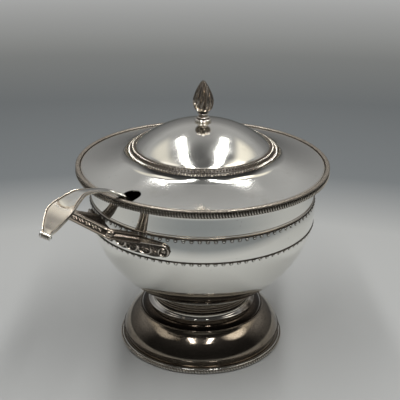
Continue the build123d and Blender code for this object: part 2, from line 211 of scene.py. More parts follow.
def turned_about(bm, angle):
    """Turns a whole mesh about the Z axis by degrees."""
    bmesh.ops.rotate(bm, matrix=Matrix.Rotation(radians(angle), 3, "Z"), verts=bm.verts)


def basis(place, across, along, out):
    """A matrix that takes local X, Y and Z to three directions at a place."""
    return Matrix.Translation(place) @ Matrix((across, along, out)).transposed().to_4x4()


def lobe(bm, place, across, along, out, sizes, tarnish_and_shade, segments=(8, 6)):
    """A rounded lobe with its poles along `along`; its darkening, patina together with painted shade, runs
    from its foot to its crown.
    """
    matrix = basis(place, across, out, along) @ Matrix.Diagonal((sizes[0], sizes[2], sizes[1], 1))
    around, rows = segments
    made = bmesh.ops.create_uvsphere(bm, u_segments=around, v_segments=rows, radius=1, matrix=matrix)["verts"]
    layer = bm.verts.layers.float["tarnish_and_shade"]
    for vert in made:
        lift = (vert.co - place).dot(out) / sizes[2]
        share = min(max(lift * 1.15, 0.0), 1.0) ** 1.8
        vert[layer] = tarnish_and_shade[0] + (tarnish_and_shade[1] - tarnish_and_shade[0]) * share
    return made


def leaflet(bm, place, along, out, sizes, crown=0.0):
    """A small lobe that lies along a direction; crown is its darkening on top, patina together with painted
    shade.
    """
    return lobe(bm, place, out.cross(along), along, out, sizes, (1.0, crown), (7, 5))


def knob(bm, place, out, radius, height, foot=0.9, segments=(8, 6)):
    """A round boss that stands outwards; foot is the darkening around it, painted shade at its foot together
    with patina.
    """
    return lobe(bm, place, UP.cross(out), UP, out, (radius, radius, height), (foot, 0.0), segments)


def slanted_row(bm, place, slant, sizes, crown, count):
    """A row of gadroons about the axis, each leaning by slant degrees."""
    lean = Matrix.Rotation(radians(slant), 3, "X")
    around_axis(bm, lobe(bm, place, lean @ ACROSS, lean @ UP, OUTWARD, sizes, (1.0, crown)), count)


def shell(bm, rings, caps=True):
    """A skin over closed rings of (place, darkening) points, the darkening being patina together with painted
    shade; every ring has the same count.
    """
    along, count = len(rings) - 1, len(rings[0])
    made = bmesh.ops.create_grid(bm, x_segments=along, y_segments=count, size=0.5)["verts"]
    layer = bm.verts.layers.float["tarnish_and_shade"]
    ends = {0: {}, along: {}} if caps else {}
    for vert in made:
        row = round((vert.co.x + 0.5) * along)
        column = round((vert.co.y + 0.5) * count)
        vert.co, vert[layer] = rings[row][column % count]
        if row in ends and column < count:
            ends[row][column] = vert
    for ring in ends.values():
        cap = []
        for column in range(count):
            cap.append(bm.verts.new(ring[column].co))
            cap[-1][layer] = ring[column][layer]
        bm.faces.new(cap)
    return made


def direction(path, share, reach):
    """Unit direction of a path at a share, taken over a short reach on either side."""
    return (path(min(share + reach, 1.0)) - path(max(share - reach, 0.0))).normalized()


def tube(bm, path, radius, steps, around=6, tarnish_and_shade=0.0, reference=UP):
    """A round wire along path(share), with its ends tapered to a point; its darkening is patina together with
    painted shade.
    """
    rings = []
    for share in shares(steps):
        size = radius(share) * min(1.0, sqrt(max(0.0, 1 - abs(2 * share - 1) ** steps)))
        tangent = direction(path, share, 0.002)
        side = tangent.cross(reference).normalized()
        top = side.cross(tangent)
        centre = path(share)
        ring = [centre + (side * cos(turn) + top * sin(turn)) * size for turn in turns(around)]
        rings.append([(place, tarnish_and_shade) for place in ring])
    return shell(bm, rings, caps=False)


def through(points):
    """A smooth path through points, as a function of a share from 0 to 1."""
    spans = len(points) - 1

    def path(share):
        at = min(max(share, 0.0), 1.0) * spans
        index = min(int(at), spans - 1)
        part = at - index
        before, start = points[max(index - 1, 0)], points[index]
        end, after = points[index + 1], points[min(index + 2, spans)]
        slope = (end - before) * part
        curve = (2 * before - 5 * start + 4 * end - after) * part**2
        return 0.5 * (2 * start + slope + curve + (3 * start - before - 3 * end + after) * part**3)

    return path


def place_object(name, data):
    """A new object in the scene that holds some data."""
    made = bpy.data.objects.new(name, data)
    bpy.context.scene.collection.objects.link(made)
    return made


def finish_piece(bm, name, body, node, material, sharp=38.0):
    """Closes a mesh, scales it to metres and makes it a piece that rides on a body and replaces a node."""
    bmesh.ops.remove_doubles(bm, verts=bm.verts, dist=MERGE_DISTANCE)
    bmesh.ops.dissolve_degenerate(bm, edges=bm.edges, dist=MERGE_DISTANCE / 2)
    bmesh.ops.recalc_face_normals(bm, faces=bm.faces)
    bmesh.ops.scale(bm, vec=(MM, MM, MM), verts=bm.verts)
    mesh = bpy.data.meshes.new(name)
    bm.to_mesh(mesh)
    bm.free()
    mesh.shade_smooth()
    mesh.set_sharp_from_angle(angle=radians(sharp))
    mesh.materials.append(material)
    piece = place_object(name, mesh)
    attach(piece, body)
    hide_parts(node)


def turned_piece(outline, name, body, node, material, steps=TURN_STEPS):
    """A piece that is one outline turned about the Z axis."""
    bm = new_mesh()
    lathe(bm, outline, steps)
    finish_piece(bm, name, body, node, material)


# ---- shader helpers


def add(tree, kind, settings=None, **sockets):
    """Adds a node; sockets are named with underscores and take a value or another socket."""
    made = tree.nodes.new(kind)
    for key, value in (settings or {}).items():
        setattr(made, key, value)
    for key, value in sockets.items():
        connect(tree, value, made.inputs[key.replace("_", " ")])
    return made


def connect(tree, value, socket):
    """Links another socket to a socket, or gives it a value."""
    if isinstance(value, bpy.types.NodeSocket):
        tree.links.new(value, socket)
    else:
        socket.default_value = value


def maths(tree, operation, *values, clamp=False):
    """One step of arithmetic on one, two or three values."""
    made = add(tree, "ShaderNodeMath", {"operation": operation, "use_clamp": clamp})
    for value, socket in zip(values, made.inputs):
        connect(tree, value, socket)
    return made.outputs[0]


def product(tree, first, *others):
    """Several values multiplied together."""
    for other in others:
        first = maths(tree, "MULTIPLY", first, other)
    return first


def between(tree, value, low, high, start=0.0, end=1.0):
    """Maps a value smoothly from low..high to start..end."""
    ends = {"From_Min": low, "From_Max": high, "To_Min": start, "To_Max": end}
    smooth = {"interpolation_type": "SMOOTHSTEP"}
    return add(tree, "ShaderNodeMapRange", smooth, Value=value, **ends).outputs["Result"]


def blend_colours(tree, share, first, second):
    """Mixes two colours by a share."""
    made = add(tree, "ShaderNodeMix", {"data_type": "RGBA"})
    for value, number in ((share, 0), (first, 6), (second, 7)):
        connect(tree, value, made.inputs[number])
    return made.outputs[2]


def ramp(tree, value, stops):
    """A colour ramp of greys or colours at positions from 0 to 1."""
    made = add(tree, "ShaderNodeValToRGB")
    connect(tree, value, made.inputs[0])
    elements = made.color_ramp.elements
    while len(elements) < len(stops):
        elements.new(0.5)
    for element, (position, level) in zip(elements, stops):
        element.position = position
        element.color = (*level, 1) if isinstance(level, tuple) else (level, level, level, 1)
    return made.outputs["Color"]


def object_place(tree):
    """Coordinates of a point in its own object, in metres."""
    return add(tree, "ShaderNodeTexCoord").outputs["Object"]


def noise(tree, scale, detail=3.0, roughness=0.5, vector=None):
    """Cloudy noise over the object, or over a given vector."""
    if vector is None:
        vector = object_place(tree)
    grain = {"Scale": scale, "Detail": detail, "Roughness": roughness}
    return add(tree, "ShaderNodeTexNoise", None, Vector=vector, **grain).outputs["Fac"]


def stretched(tree, scale, turn):
    """Object coordinates stretched and turned, for long marks."""
    placed = {"Vector": object_place(tree), "Rotation": turn, "Scale": scale}
    return add(tree, "ShaderNodeMapping", None, **placed).outputs[0]


def scaled_length(tree, vector, scale):
    """Length of a vector whose parts are scaled first."""
    scaled = add(tree, "ShaderNodeVectorMath", {"operation": "MULTIPLY"})
    connect(tree, vector, scaled.inputs[0])
    connect(tree, scale, scaled.inputs[1])
    length = add(tree, "ShaderNodeVectorMath", {"operation": "LENGTH"}, Vector=scaled.outputs[0])
    return length.outputs["Value"]


def turned_back(tree, vector):
    """A direction or place as it lies from where the camera stands."""
    spin = {"rotation_type": "Z_AXIS"}
    return add(tree, "ShaderNodeVectorRotate", spin, Vector=vector, Angle=radians(-VIEW_TURN)).outputs[0]


def new_material(name):
    """A new material, its node tree and its shader."""
    material = bpy.data.materials.new(name)
    material.use_nodes = True
    return material, material.node_tree, material.node_tree.nodes["Principled BSDF"]


def new_group(name, inputs, outputs):
    """An empty node group with float inputs, given as (name, default), and float outputs."""
    group = bpy.data.node_groups.new(name, "ShaderNodeTree")
    for label, default in inputs:
        socket = group.interface.new_socket(label, in_out="INPUT", socket_type="NodeSocketFloat")
        socket.default_value = default
    for label in outputs:
        group.interface.new_socket(label, in_out="OUTPUT", socket_type="NodeSocketFloat")
    return group, group.nodes.new("NodeGroupInput").outputs, group.nodes.new("NodeGroupOutput").inputs


def from_group(tree, group, **sockets):
    """The outputs of a node group placed in a tree."""
    return add(tree, "ShaderNodeGroup", {"node_tree": group}, **sockets).outputs


def layer_value(tree, name):
    """The value that a mesh layer holds."""
    return add(tree, "ShaderNodeAttribute", {"attribute_name": name}).outputs["Fac"]


def make_tarnish_and_shade_group():
    """Where the silver is darkened: in recesses, from the mesh's darkening layer, which is painted shade
    together with patina, and in soft blotches of patina over plain surfaces.
    """
    group, given, out = new_group("tarnish_and_shade", [("Blotch Scale", 30.0), ("Blotches", 0.2)], ["Mask"])
    cloud = noise(group, given["Blotch Scale"], 5.0, 0.62)
    blotch = maths(group, "MULTIPLY", between(group, cloud, 0.46, 0.72), given["Blotches"])
    grain = between(group, noise(group, 900.0, 2.0), 0.3, 0.7, 0.75, 1.15)
    deep = maths(group, "MULTIPLY", layer_value(group, "tarnish_and_shade"), grain)
    connect(group, maths(group, "MAXIMUM", deep, blotch, clamp=True), out["Mask"])
    return group


def make_turning_group():
    """Concentric marks left by spinning and polishing on a lathe."""
    group, given, out = new_group("turning_marks", [("Pitch", 900.0)], ["Height"])
    radius = scaled_length(group, object_place(group), (1, 1, 0))
    along = maths(group, "MULTIPLY", radius, given["Pitch"])
    fine = add(group, "ShaderNodeTexNoise", {"noise_dimensions": "1D"}, W=along, Scale=1.0, Detail=4.0)
    connect(group, fine.outputs["Fac"], out["Height"])
    return group


def make_handling_group():
    """Hairline scratches in three directions and a few small pits."""
    group, _, out = new_group("handling_marks", [], ["Scratches", "Pits"])
    lines = 0.0
    for number, turn in enumerate(((0.3, 0.2, 0.5), (1.1, 0.4, 1.9), (0.7, 1.3, 2.8))):
        vector = stretched(group, (60, 2600, 2600), turn)
        line = between(group, noise(group, 1.0 + 0.3 * number, 1.0, 0.4, vector), 0.66, 0.78)
        lines = maths(group, "MAXIMUM", lines, line)
    connect(group, lines, out["Scratches"])
    cells = add(group, "ShaderNodeTexVoronoi", None, Vector=object_place(group), Scale=260.0, Randomness=1.0)
    sparse = between(group, noise(group, 70.0), 0.6, 0.66)
    pits = maths(group, "MULTIPLY", between(group, cells.outputs["Distance"], 0.06, 0.12, 1.0, 0.0), sparse)
    connect(group, pits, out["Pits"])
    return group


tarnish_and_shade_group = make_tarnish_and_shade_group()
turning_group = make_turning_group()
handling_group = make_handling_group()

CLEAN_SILVER = (0.93, 0.92, 0.87, 1)
WARM_SILVER = (0.72, 0.62, 0.50, 1)
# Dark colour where the darkening mask is strong: patina, and painted shade in recesses and under edges.
DARK_TARNISH_AND_SHADE = (0.045, 0.034, 0.025, 1)
WORN_PLATE = (0.86, 0.78, 0.68, 1)
WORN_ROUGHNESS = 0.16
TURNING_PITCH = 1200.0
PIT_DEPTH = 25.0
MICRON = 1e-6


def bumped(tree, shader, **settings):
    """Gives a shader a bumped surface."""
    bump = add(tree, "ShaderNodeBump", None, **settings)
    connect(tree, bump.outputs["Normal"], shader.inputs["Normal"])


def silver(name, clean=CLEAN_SILVER, warm=WARM_SILVER, dark=DARK_TARNISH_AND_SHADE, roughness=0.08, blotches=0.25,
           blotch_scale=30.0, turning=0.0, scratches=0.3, waviness=0.0, dulling=0.24, dimming=0.75):
    """A silver plate finish; its darkening mask, patina together with painted shade, roughens it by dulling,
    and darkens it and mattes it by dimming.

    Turning, scratches and waviness are depths in thousandths of a millimetre.
    """
    material, tree, shader = new_material(name)
    mask = from_group(tree, tarnish_and_shade_group, Blotch_Scale=blotch_scale, Blotches=blotches)["Mask"]
    marks = from_group(tree, handling_group)
    colour = blend_colours(tree, between(tree, mask, 0.0, 0.45), clean, warm)
    # A strong mask makes the colour dark and less metallic: painted shade together with patina.
    dark_share = between(tree, mask, 0.35, 0.9)
    colour = blend_colours(tree, dark_share, colour, dark)
    connect(tree, maths(tree, "MULTIPLY_ADD", dark_share, -dimming, 1.0), shader.inputs["Metallic"])
    bare = layer_value(tree, "worn")
    speckle = between(tree, noise(tree, 1500.0, 2.0), 0.35, 0.65, 0.45, 1.0)
    colour = blend_colours(tree, maths(tree, "MULTIPLY", bare, speckle), colour, WORN_PLATE)
    connect(tree, blend_colours(tree, marks["Pits"], colour, dark), shader.inputs["Base Color"])
    rough = maths(tree, "MULTIPLY_ADD", mask, dulling, roughness)
    rough = maths(tree, "MULTIPLY_ADD", bare, WORN_ROUGHNESS, rough)
    cloud = between(tree, noise(tree, 45.0, 4.0), 0.3, 0.7, -0.025, 0.035)
    connect(tree, maths(tree, "ADD", rough, cloud, clamp=True), shader.inputs["Roughness"])
    height = maths(tree, "MULTIPLY", marks["Scratches"], -scratches)
    height = maths(tree, "MULTIPLY_ADD", marks["Pits"], -PIT_DEPTH, height)
    if turning:
        rings = from_group(tree, turning_group, Pitch=TURNING_PITCH)["Height"]
        height = maths(tree, "MULTIPLY_ADD", rings, turning, height)
    if waviness:
        height = maths(tree, "MULTIPLY_ADD", noise(tree, 26.0, 1.0), waviness, height)
    bumped(tree, shader, Strength=1.0, Distance=MICRON, Height=height)
    return material


bowl_silver = silver("bowl_silver", roughness=0.065, blotches=0.10, waviness=60.0, scratches=0.5)
lid_silver = silver("lid_silver", warm=(0.70, 0.66, 0.59, 1), roughness=0.105, blotches=0.16,
                    turning=2.4, scratches=0.6, waviness=16.0)
# The foot's dark tones are brown patina together with painted dark reflection of the room.
foot_silver = silver("foot_silver", clean=(0.86, 0.82, 0.77, 1), warm=(0.36, 0.31, 0.25, 1), roughness=0.05,
                     blotches=0.85, blotch_scale=22.0, waviness=50.0, dulling=0.10, dimming=0.0)
cast_silver = silver("cast_silver", clean=(0.90, 0.87, 0.82, 1), warm=(0.52, 0.44, 0.36, 1), roughness=0.15,
                     blotches=0.4, blotch_scale=140.0)
border_silver = silver("border_silver", warm=(0.56, 0.50, 0.42, 1), roughness=0.12, blotches=0.30,
                       blotch_scale=110.0)
ladle_silver = silver("ladle_silver", roughness=0.12, blotches=0.18, blotch_scale=40.0)
fastener_silver = silver("fastener_silver", roughness=0.30, blotches=0.6, blotch_scale=120.0,
                         dark=(0.10, 0.07, 0.05, 1))


# ---- bowl


def make_bowl():
    """The bowl: belly, collar with a fine edge line, flare and flange, with a wall all the way."""
    seat = flange_radius - FLANGE_SEAT
    low_edge = flange_height - WALL
    line_height = collar_base + EDGE_LINE_RISE
    outside = belly_outline(0.0, 64)
    outside += [(COLLAR_RADIUS + 0.35, collar_base + 0.1), (COLLAR_RADIUS, collar_base + 0.5, 0.6)]
    outside += [(COLLAR_RADIUS, line_height - EDGE_LINE_RADIUS - 0.2)]
    outside += shaded(arc((COLLAR_RADIUS, line_height), EDGE_LINE_RADIUS, -90, 90, 6), 0.55)
    outside += [(COLLAR_RADIUS, line_height + EDGE_LINE_RADIUS + 0.3)]
    outside += [(COLLAR_RADIUS, flare_base - 9), (COLLAR_RADIUS, flare_base)]
    # The flare's underside darkens step by step up to the flange, and the flange's edge is dark: painted
    # shadow under the rim.
    flare = arc((seat, flare_base), (COLLAR_RADIUS - seat, low_edge - flare_base), 0, 90, 14)[1:]
    outside += [(*point, min(1.0, FLARE_SHADE_STEP * step)) for step, point in enumerate(flare)]
    outside += [(flange_radius - 0.2, low_edge, 1.0), (flange_radius - 0.2, flange_height, 1.0)]
    inner_radius = COLLAR_RADIUS - WALL
    inside = [(seat, flange_height)]
    inside += arc((seat, flare_base), (inner_radius - seat, flange_height - flare_base), 90, 0, 14)[1:]
    inside += belly_outline(WALL, 48)[::-1]
    turned_piece(outside + inside, "bowl", "tureen", "bowl_shell", bowl_silver)


RIM_LOBES = 296
RIM_SLANT = 18.0
RIM_LOBE = (0.95, 3.1, 1.55)
RIM_BEAD = (2.3, 1.45)
RIM_CORE = 3.0


def make_rim_border():
    """Rim border: a plain bead above a row of slanted gadroons, soldered on the flange's edge."""
    inner = flange_radius
    bead_centre = (inner + RIM_BEAD[0], rim_high.z - RIM_BEAD[1])
    core = inner + RIM_CORE
    bm = new_mesh()
    middle = Vector((core + 0.25, 0, (rim_low.z + bead_centre[1] - RIM_BEAD[1]) / 2))
    slanted_row(bm, middle, RIM_SLANT, RIM_LOBE, 0.2, RIM_LOBES)
    # The ground under and between the gadroons and the border's underside are dark in colour: painted shade
    # under the rim together with patina; the bead is darkened in colour too.
    outline = [(inner, rim_low.z, 1.0), (core - 0.6, rim_low.z, 1.0), (core, rim_low.z + 0.8, 1.0)]
    outline += [(core, bead_centre[1] - 1.5, 1.0), (core - 0.3, bead_centre[1] - 1.1, 1.0)]
    outline += shaded(arc(bead_centre, RIM_BEAD, -38, 140, 14), 0.72)
    outline += [(inner, bead_centre[1] + 0.4, 1.0), (inner, flange_height, 1.0)]
    lathe(bm, closed(outline))
    finish_piece(bm, "rim_gadroon", "tureen", "rim_border", border_silver)


BAND_DROPS = 96
DROP_RADIUS = 2.1
BEAD_RADIUS = 1.3
BAND_WIRE = 0.42
BAND_LINE = 0.6
BAND_MARGIN = 0.5
ARCH_HEIGHT = 0.9


def make_band(name, node, top):
    """A scalloped band: bright beads in dark rings, joined by small arches under a fine line; the dark rings
    are painted shade around each bead together with patina.
    """
    bm = new_mesh()
    line = top - BAND_MARGIN
    drop_height = line - DROP_RADIUS
    lean = belly_radius(top - 0.8) - belly_radius(drop_height - 0.8)
    up = Vector((lean, 0, 1.55)).normalized()
    out = ACROSS.cross(up)
    centre = Vector((belly_radius(drop_height) + 0.1, 0, drop_height))
    half_pitch = pi * centre.x / BAND_DROPS

    def arch(share):
        turn = radians(190 - 200 * share)
        middle = centre + ACROSS * half_pitch + up * 0.6
        return middle + ACROSS * ((half_pitch - ARCH_HEIGHT) * cos(turn)) + up * (ARCH_HEIGHT * sin(turn))

    motif = lobe(bm, centre, ACROSS, up, out, (DROP_RADIUS, DROP_RADIUS, 0.35), (1.0, 1.0), (12, 4))
    motif += lobe(bm, centre + out * 0.25, ACROSS, up, out, (BEAD_RADIUS, BEAD_RADIUS, 0.75), (0.3, 0.0))
    motif += tube(bm, arch, lambda _: BAND_WIRE, 8, 5, 0.8, out)
    around_axis(bm, motif, BAND_DROPS)
    lathe(bm, closed(shaded(arc((belly_radius(line), line), BAND_LINE, 0, 300, 6), 1.0)))
    finish_piece(bm, name, "tureen", node, border_silver)


# ---- foot


NECK_REED = 1.35
NECK_REEDS = (2.6, 5.6, 8.2)
neck_radius = neck_high.x - 1.5
FOOT_HOLE = 46.0
RIDGE_HEIGHT = 13.4
OVOLO_BULGE = 3.0
# FOOT_DARKENING and BAND_DARKENING darken the foot's ovolo, reeds and band in colour: brown patina together
# with painted dark reflection of the room.
FOOT_DARKENING = 0.56
BAND_DARKENING = 0.95
BAND_BULGE = 1.4
STEP_RADIUS = 69.0
STEP_HEIGHT = 38.4
LEDGE_WIDTH = 4.0


def make_neck():
    """The reeded neck between foot and bowl."""
    base = neck_low.z
    outline = [(neck_radius - 2.6, base), (neck_radius + 1.6, base), (neck_radius + 1.2, base + 0.9, 0.7)]
    # Between the reeds the colour is darker: painted shade in the grooves together with patina.
    for height in NECK_REEDS:
        outline.append((neck_radius - 0.2, base + height - NECK_REED - 0.1, 0.9))
        reed = arc((neck_radius - 0.1, base + height), (NECK_REED, NECK_REED * 0.9), -75, 75, 8)
        outline += shaded(reed, FOOT_DARKENING)
    outline += [(neck_radius - 0.2, base + 9.5, 0.9), (neck_radius - 2.6, base + 8.7)]
    turned_piece(closed(outline), "neck_reeds", "tureen", "foot_neck", foot_silver, 192)


def foot_outline():
    """The foot's outside from its groove to its top plate."""
    ledge_radius = neck_radius + 2.9 + LEDGE_WIDTH
    ledge_height = foot_high.z - LEDGE_WIDTH
    ridge = foot_high.x
    groove = ridge - 2.0
    points = [(groove, foot_low.z, 0.9), (groove, RIDGE_HEIGHT - 1.6, 0.9)]
    points += shaded(arc((groove + 1.2, RIDGE_HEIGHT - 0.2), (0.8, 0.9), -110, 100, 8), 0.8)
    ovolo = bow((ridge - 0.9, RIDGE_HEIGHT + 0.75), (STEP_RADIUS + 0.5, STEP_HEIGHT - 0.2), OVOLO_BULGE, 22)
    points += shaded(ovolo, FOOT_DARKENING)
    points += shaded(arc((STEP_RADIUS - 0.3, STEP_HEIGHT + 0.8), (0.75, 0.8), -60, 110, 8), 0.7)
    under_ledge = (ledge_radius + 0.2, ledge_height - 0.2)
    band = bow((STEP_RADIUS - 1.5, STEP_HEIGHT + 1.3), under_ledge, BAND_BULGE, 10)
    points += shaded(band, BAND_DARKENING)
    points += [(ledge_radius, ledge_height)]
    top_plate = (ledge_radius - LEDGE_WIDTH, foot_high.z)
    points += bow((ledge_radius - 0.3, ledge_height + 0.2), top_plate, 0.25, 5)
    return points


def make_foot():
    """The spun foot: groove, ridge, ovolo, band moulding and ledge, hollow beneath."""
    outside = foot_outline()
    inside = [(point[0] - WALL, point[1] - WALL, 0.6) for point in outside[1:]]
    outline = [(FOOT_HOLE, foot_high.z - WALL), (FOOT_HOLE, foot_high.z), *outside[::-1]]
    outline += [(outside[0][0] - WALL, outside[0][1]), *inside]
    turned_piece(closed(outline), "foot", "tureen", "foot_shell", foot_silver)


FOOT_LOBES = 176
FOOT_LOBE = (1.4, 2.75, 1.4)
FOOT_SLANT = 32.0


def make_foot_border():
    """The rope-edged ring that the tureen stands on."""
    radius, top = base_high.x, base_high.z
    bm = new_mesh()
    middle = Vector((radius - FOOT_LOBE[0] - 0.05, 0, top / 2))
    slanted_row(bm, middle, FOOT_SLANT, FOOT_LOBE, 0.1, FOOT_LOBES)
    # The ground behind the rope and under its top edge is dark in colour: painted shade in the hollows
    # together with patina.
    outline = [(radius - 7.0, 0), (radius - 2.4, 0), (radius - 1.7, 0.6, 1.0), (radius - 1.7, top - 0.9, 1.0)]
    outline += arc((radius - 2.5, top - 0.55), 0.5, -30, 120, 5)
    outline += [(radius - 4.0, top - 0.5, 0.9), (radius - 7.0, top - 0.4)]
    lathe(bm, closed(outline))
    finish_piece(bm, "foot_rope", "tureen", "foot_border", border_silver)


# ---- lid


NOTCH_WIDTH = 18.0
NOTCH_END = 109.0
NOTCH_TURN = 10.5
NOTCH_CUTS = 14
DOME_RADIUS = 70.0
DOME_BASE = 227.9
DOME_TARNISH = 0.2
DOME_STEPS = 36
STUD_HOLE = 2.55
BRIM_DIP = 1.4


def carve_notch(bm):
    """Opens the lid's skin for the ladle: two straight sides and a round end."""
    half = NOTCH_WIDTH / 2
    middle = Vector((NOTCH_END + half, 0, 0))
    turn = Matrix.Rotation(radians(180 + NOTCH_TURN), 3, "Z")
    back = turn.inverted()
    cuts = [(middle + ACROSS * side * half, ACROSS * side) for side in (-1, 1)]
    for step in range(NOTCH_CUTS):
        angle = radians(90 + 180 * (step + 0.5) / NOTCH_CUTS)
        outward = polar(1, angle)
        cuts.append((middle + outward * half, outward))

    def chosen(wanted):
        return [face for face in bm.faces if wanted(back @ face.calc_center_median())]

    for place, outward in cuts:
        near = chosen(lambda at: at.x > NOTCH_END - 6 and abs(at.y) < half + 4)
        edges = {edge for face in near for edge in face.edges}
        verts = {vert for face in near for vert in face.verts}
        plane = {"plane_co": turn @ place, "plane_no": turn @ outward}
        bmesh.ops.bisect_plane(bm, geom=[*near, *edges, *verts], dist=MERGE_DISTANCE / 10, **plane)
    inside = chosen(lambda at: at.x > 0 and all((at - place).dot(outward) < 0 for place, outward in cuts))
    bmesh.ops.delete(bm, geom=inside, context="FACES")


def make_lid():
    """The lid: dome, shoulder, broad brim and a rolled edge, cut for the ladle."""
    edge, lip = lid_high.x, lid_low.z
    step_radius, step_height = ring_high.x, ring_low.z
    edge_height = lip + 3.0
    rise = lid_high.z - DOME_BASE
    sphere = (DOME_RADIUS**2 + rise**2) / (2 * rise)
    outline = []
    for share in shares(DOME_STEPS):
        radius = STUD_HOLE + (DOME_RADIUS - STUD_HOLE) * share
        warmth = DOME_TARNISH * (1 - radius / DOME_RADIUS)
        outline.append((radius, lid_high.z - sphere + sqrt(sphere**2 - radius**2), warmth))
    # The groove at the foot of the dome is dark in colour: painted shade together with patina.
    outline += [(DOME_RADIUS + 0.6, DOME_BASE - 0.9, 0.9), (step_radius, step_height, 0.7)]
    outline += [(step_radius + 0.25, step_height - 0.9)]
    fillet = arc((step_radius + 9.4, step_height + 5.4), 9.2, 195, 256, 10)
    outline += fillet
    outline += bow(fillet[-1], (edge - 1.6, edge_height + 0.05), BRIM_DIP, 22)[1:-1]
    # The brim's end, the rolled edge and the lip are darkened in colour so the edge mirrors the lamps less:
    # painted shade.
    outline += [(edge - 1.7, edge_height + 0.02, 0.15)]
    outline += shaded(arc((edge - 0.8, edge_height - 0.8), 0.8, 100, 0, 6), 0.5)
    outline += [(edge, edge_height - 1.6, 0.9), (edge, lip, 1.0)]
    bm = new_mesh()
    lathe(bm, outline)
    bmesh.ops.remove_doubles(bm, verts=bm.verts, dist=MERGE_DISTANCE)
    carve_notch(bm)
    bmesh.ops.recalc_face_normals(bm, faces=bm.faces)
    if sum(face.normal.z * face.calc_area() for face in bm.faces) < 0:
        bmesh.ops.reverse_faces(bm, faces=bm.faces)
    bmesh.ops.solidify(bm, geom=list(bm.faces), thickness=WALL)
    finish_piece(bm, "lid", "lid", "lid_shell", lid_silver, sharp=30)


LID_BEADS = 144
LID_LEAVES = 150

# The border's ground from its outer edge inwards, as (share of its width, lift, darkening); the darkening is
# painted shade in the hollows together with patina
LID_GROUND = (
    (-0.02, -0.6, 1.0), (-0.03, 0.4, 0.9), (0.0, 0.8, 0.75), (0.04, 0.6, 1.0), (0.07, 0.2, 1.0),
    (0.3, 0.3, 1.0), (0.51, 0.3, 1.0), (0.54, 0.9, 0.85), (0.57, 0.3, 1.0), (0.76, 0.3, 1.0),
    (0.92, 0.3, 1.0), (0.95, 0.9, 0.8), (0.99, 0.4, 1.0), (1.0, -0.6, 1.0),
)


def make_lid_border():
    """The shoulder ornament: a row of beads inside a row of leaf tips, between fine lines."""
    outer = Vector((ring_high.x, 0, ring_low.z))
    run = Vector((DOME_RADIUS + 1.4, 0, ring_high.z)) - outer
    slope = run.normalized()
    out = slope.cross(ACROSS) * -1
    bm = new_mesh()

    def at(share, lift):
        return outer + slope * (run.length * share) + out * lift

    leaf = lobe(bm, at(0.28, 0.3), ACROSS, slope, out, (0.95, 2.9, 2.1), (1.0, 0.0))
    around_axis(bm, leaf, LID_LEAVES)
    bead = lobe(bm, at(0.77, 0.4), ACROSS, slope, out, (0.9, 1.5, 1.9), (1.0, 0.15))
    around_axis(bm, bead, LID_BEADS)
    ground = [(at(share, lift).x, at(share, lift).z, shade) for share, lift, shade in LID_GROUND]
    lathe(bm, closed(ground), 240)
    finish_piece(bm, "lid_leaf_ring", "lid", "lid_border", border_silver)


def make_finial_base():
    """The turned discs under the bud."""
    top, base, radius = disc_high.z, disc_low.z, disc_high.x
    # The hollows between the discs are dark in colour: painted shade together with patina.
    outline = [(2.4, base + 0.4), (radius - 0.9, base + 0.2, 0.8)]
    outline += arc((radius - 1.3, base + 1.7), (1.3, 1.3), -70, 90, 8)
    outline += [(radius - 2.6, base + 3.1, 0.9), (radius - 3.9, base + 3.6, 0.9)]
    outline += [(radius - 4.3, top - 3.2, 0.8)]
    outline += arc((radius - 3.9, top - 2.1), (1.5, 1.0), -80, 80, 8)
    outline += [(radius - 4.6, top - 0.9, 0.9), (radius - 5.2, top), (2.4, top)]
    turned_piece(closed(outline), "finial_discs", "lid", "finial_base", cast_silver, 96)


BUD_WIDEST = 15.4
BUD_BELLY_START = 3.4
BUD_CORE_START = 3.6
BUD_CORE_STEPS = 16
LEAF_STEPS = 14

# Tiers of leaves, as (base, tip, count, turn of the first)
BUD_TIERS = ((3.9, 20.0, 6, 0.0), (5.5, 26.0, 6, 30.0), (9.5, 31.5, 6, 6.0), (14.0, 37.0, 5, 40.0))


def bud_radius(height):
    """Radius of the bud at a height above its base."""
    if height < BUD_WIDEST:
        share = (BUD_WIDEST - height) / (BUD_WIDEST - BUD_BELLY_START)
        return 3.2 + (bud_high.x - 4.6) * sqrt(max(0.0, 1 - min(share, 1.0) ** 2))
    share = (height - BUD_WIDEST) / (bud_high.z - bud_low.z - BUD_WIDEST)
    return 0.4 + (bud_high.x - 1.8) * max(0.0, 1 - share**1.5)


def bud_leaf(bm, base, tip, turn, half_width):
    """One pointed leaf that wraps the bud with a keel down its middle and a slight twist."""
    rings = []
    for share in shares(LEAF_STEPS):
        height = base + (tip - base) * share
        width = half_width * max(0.02, min(1.0, (share * 5 + 0.25)) * (1 - share**2.2) ** 0.8)
        centre = bud_radius(height) + 0.5 - 0.8 * max(0.0, 0.15 - share) / 0.15
        ring = []
        for angle in turns(12):
            across = cos(angle)
            keel, rim = max(0.0, 1 - abs(across) * 2.2), max(0.0, abs(across) - 0.8) * 5
            crest = -0.7 + 1.6 * keel + 1.3 * rim
            radius = centre + (crest if sin(angle) > -0.1 else -0.9) * (1 - share**6)
            bearing = radians(turn + 24 * share) + across * width / max(centre, 2.2)
            place = polar(radius, bearing, bud_low.z + height)
            # Away from its keel and rims the leaf is dark in colour: painted shade in its hollows together
            # with patina.
            ring.append((place, 1.0 - max(keel, rim) * (0.7 + 0.3 * share)))
        rings.append(ring)
    shell(bm, rings)


